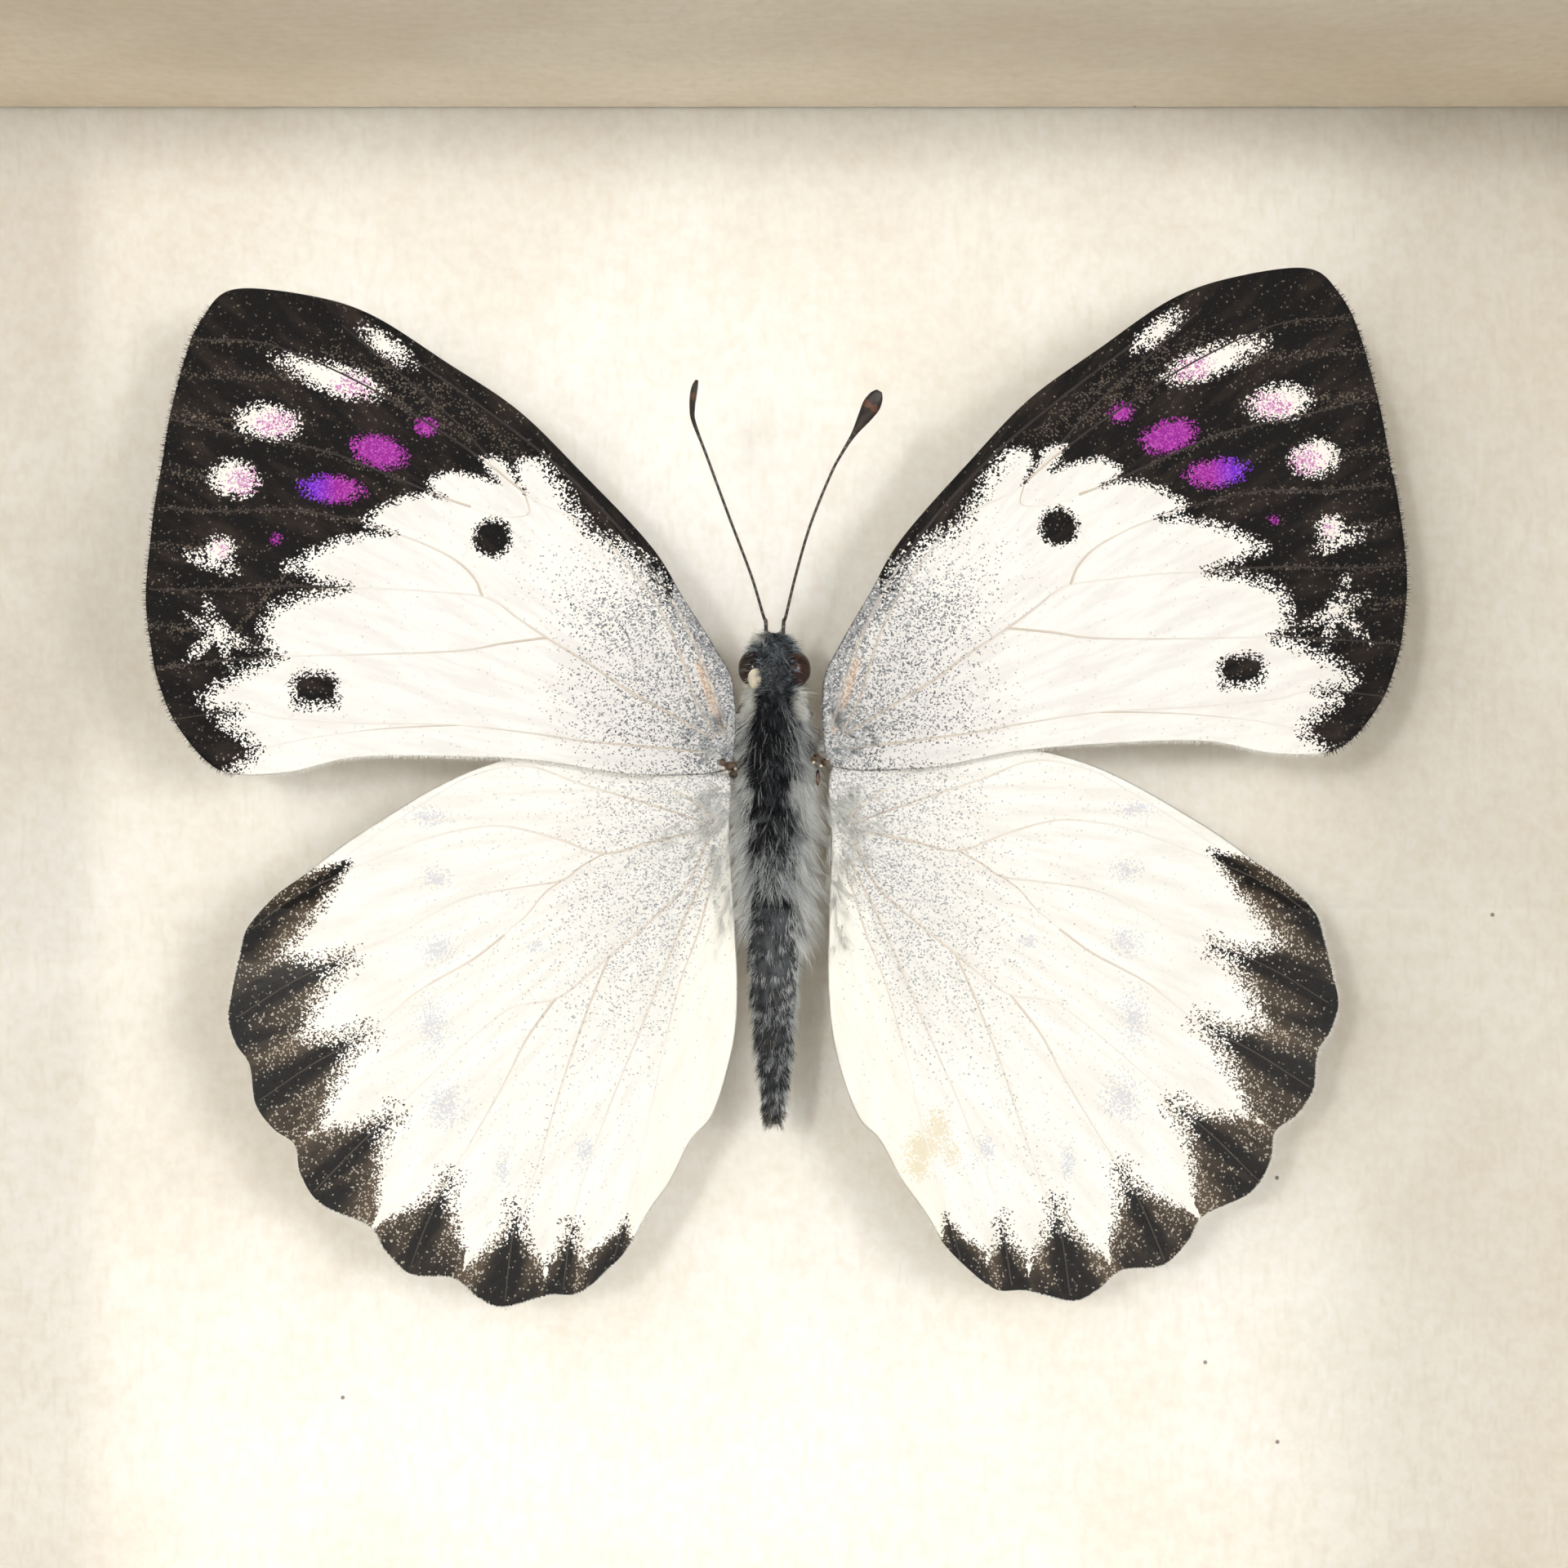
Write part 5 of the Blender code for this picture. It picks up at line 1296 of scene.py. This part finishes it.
def forewing_relief(p, vein_gap, seed):
    """Height of the forewing's surface: low ridges at the veins, a slight hollow behind the front edge, a broad
    crown towards the tip and a slow roll of the whole sheet."""
    front = gap_to(p, rounded_route(FOREWING_OUTLINE_MM[:9], 4))
    turn = np.arctan2(p[:, 1] + 2.0, p[:, 0] - 1.2)
    relief = 0.05 * bell(vein_gap, 0.45) - 0.05 * bell(front - 1.6, 0.9)
    relief = relief + 0.02 * np.sin(turn * 44 + seed) * np.clip(p[:, 0] / 16, 0, 1)
    relief = relief + 0.14 * bump_at(*p.T, 21, 12, 9, 7)
    return relief + 0.12 * ripple(p[:, 0], p[:, 1], seed, (0.025, 0.05, 0.1)) * np.clip(p[:, 0] / 12, 0.3, 1)


FORE_VEIN = vein_finish("forewing_veins", (208, 194, 178), (234, 229, 221), (40, 31, 26))
fore_vein_widths = {
    "costal": 0.12, "radial": 0.085, "cubital": 0.085, "anal": 0.07, "cell_end": 0.045, "median_two": 0.04,
    "anal_low": 0.05,
}
FORE_TUFTS = [(2.5, 1.4, 0.7, 1.1, 48, 420), (2.8, -0.1, 1.1, 0.6, 0, 380), (3.6, 0.9, 1.4, 1.1, 22, 300)]
for word, side, turn, shift, seed in (("left", -1, 0.0, (0.0, 0.0), 0.6), ("right", 1, 0.036, (0.50, 0.15), 3.4)):
    wing("forewing", word, (FOREWING_OUTLINE_MM, (17.0, 8.0)), (FOREWING_VEINS_MM, fore_vein_widths, FORE_VEIN),
         (FOREWING_LIFT, FOREWING_RISE, side, turn, shift, seed), forewing_relief, forewing_fields,
         forewing_scales("forewing_scales_" + word),
         (FORE_TUFTS, (0.3, 0.7), lambda p: (0.72 + 0.2 * np.sin(p[:, 0] * 5 + p[:, 1] * 3), 0.05 + 0 * p[:, 0])),
         (lambda p: (p[:, 0] > 29) | ((p[:, 1] < 0) & (p[:, 0] > 6)), lambda p: depth_in(p, BLACK_TIP_MM)))

# The hanger: a stamped and plated steel strip with a toothed lower edge, held to the top rail by two small
# round-headed slotted screws.
RAIL_BACK = 19.55
HANGER_HEIGHT = 120.6
SCREW_OUT = 13.5


def plated_steel():
    """Bright plating, brushed along the strip, with dull spots where it has tarnished."""
    made, tree, shader = surface("plated_steel")
    place = put(tree, "TexCoord").outputs["Object"]
    drawn = put(tree, "Mapping", {"Vector": place, "Scale": (300.0, 300.0, 6000.0)}).outputs[0]
    brushed = noise(tree, drawn, 1.0, 4.0)
    tarnish = noise(tree, place, 700.0, 6.0)
    aged = remap(tree, tarnish, 0.52, 0.72)
    tone = laid_over(tree, brushed, (196, 192, 184), (214, 211, 204))
    tone = laid_over(tree, times(tree, aged, 0.5), tone, (122, 108, 92))
    feed(tree, shader, {"Base Color": tone, "Metallic": 0.45})
    polish = remap(tree, brushed, to_low=0.24, to_high=0.4)
    rough = maths(tree, "ADD", polish, times(tree, aged, 0.2))
    tree.links.new(rough, shader.inputs["Roughness"])
    dent = put(tree, "Bump", {"Height": brushed, "Strength": 0.25, "Distance": 0.00003}).outputs[0]
    tree.links.new(dent, shader.inputs["Normal"])
    return made


PLATED = plated_steel()
for material_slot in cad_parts["hanger_plate"].material_slots:
    material_slot.material = PLATED


def screw_head(name, x, slot_turn):
    """A screw: a domed head whose height is the square root curve of a flat egg, sunk along a straight slot
    by a smooth step, over a plain shank with a point."""
    rings, sides = 20, 48
    radius = np.linspace(0, 1, rings + 1)[1:]
    turns = np.linspace(0, 2 * math.pi, sides, endpoint=False)
    r, t = np.meshgrid(radius, turns, indexing="ij")
    off_slot = np.abs(r * 1.8 * np.sin(t - slot_turn))
    dome = 0.28 + 0.48 * np.sqrt(np.clip(1 - r**2, 0, 1))
    sunk = 0.34 / (1 + np.exp((off_slot - 0.2) / 0.03)) * (r < 0.995)
    head = np.stack([r * 1.8 * np.cos(t), dome - sunk, r * 1.8 * np.sin(t)], 2)
    lower = []
    for radius_mm, height in ((1.8, 0.15), (0.9, 0.15), (0.9, -4.6), (0.45, -6.0)):
        lower.append(np.stack([radius_mm * np.cos(turns), np.full(sides, height), radius_mm * np.sin(turns)], 1))
    points = np.vstack([head.reshape(-1, 3), *lower, (0, 0.42, 0), (0, -7.0, 0)])
    points[:, 1] += RAIL_BACK + 0.3 + 0.8
    points[:, 0] += x
    points[:, 2] += HANGER_HEIGHT
    rows = rings + len(lower)
    faces = outward(points, [lattice(rows, sides), end_fans(sides, len(points), rows)])
    piece(name + "_domed", points * MM, faces, PLATED, "plated_steel", (name,))


screw_head("hanger_screw_left", -SCREW_OUT, 0.5)
screw_head("hanger_screw_right", SCREW_OUT, 1.9)

# Outside the object: a pale table, soft light from the front and above, and the camera square to the
# panel, at the photograph's place and framing.
def stage_floor():
    """A wide pale table top with the faintest unevenness in its tone."""
    mesh = bpy.data.meshes.new("table_top")
    reach = 6.0
    corners = [(-reach, -reach, 0), (reach, -reach, 0), (reach, reach, 0), (-reach, reach, 0)]
    mesh.from_pydata(corners, [], [(0, 1, 2, 3)])
    made, tree, shader = surface("table_top")
    place = put(tree, "TexCoord").outputs["Object"]
    cloud = noise(tree, place, 12.0, 4.0)
    tone = laid_over(tree, cloud, (214, 211, 205), (222, 219, 213))
    feed(tree, shader, {"Base Color": tone, "Roughness": 0.7})
    mesh.materials.append(made)
    obj = bpy.data.objects.new("table_top", mesh)
    obj.visible_glossy = False
    bpy.context.scene.collection.objects.link(obj)
    return obj


stage_floor()


def softbox(name, place, target, size, power, tint, tall=None):
    """A round or egg-shaped soft light turned towards its target."""
    lamp = bpy.data.lights.new(name, "AREA")
    lamp.shape = "ELLIPSE"
    lamp.size = size
    lamp.size_y = tall or size
    lamp.energy = power
    lamp.color = tint
    obj = bpy.data.objects.new(name, lamp)
    obj.location = place
    way = [b - a for a, b in zip(place, target)]
    obj.rotation_mode = "QUATERNION"
    obj.rotation_quaternion = Vector(way).to_track_quat("-Z", "Y")
    bpy.context.scene.collection.objects.link(obj)
    return obj


SPECIMEN_AT = (0.0, PANEL_FACE * MM, 0.068)
softbox("key", (-0.72, -2.5, 0.33), SPECIMEN_AT, 0.22, 12.6, (1.0, 0.99, 0.965), tall=0.30)
softbox("low_fill", (0.0, -1.3, -0.85), SPECIMEN_AT, 0.5, 5.0, (1.0, 0.955, 0.90))
softbox("front_fill", (0.70, -1.3, 0.12), SPECIMEN_AT, 0.4, 6.4, (0.97, 0.975, 1.0))
softbox("back_fill", (-0.5, 1.1, 0.7), SPECIMEN_AT, 0.8, 5.0, (1.0, 0.99, 0.97))
world = bpy.data.worlds.new("studio_air")
world.use_nodes = True
world.node_tree.nodes["Background"].inputs["Color"].default_value = (0.97, 0.985, 1.0, 1.0)
path = put(world.node_tree, "LightPath").outputs["Is Glossy Ray"]
held = remap(world.node_tree, path, to_low=0.66, to_high=0.03)
world.node_tree.links.new(held, world.node_tree.nodes["Background"].inputs["Strength"])
bpy.context.scene.world = world
bpy.context.scene.view_settings.view_transform = "Standard"

lens = bpy.data.cameras.new("camera")
lens.lens = 85.57
lens.sensor_width = 36.0
lens.shift_x = 0.00625
lens.shift_y = 0.0536
lens.clip_start = 0.005
camera = bpy.data.objects.new("camera", lens)
camera.location = (0.0, -0.18715, 0.06695)
camera.rotation_euler = (math.pi / 2, 0.0, 0.0)
bpy.context.scene.collection.objects.link(camera)
bpy.context.scene.camera = camera
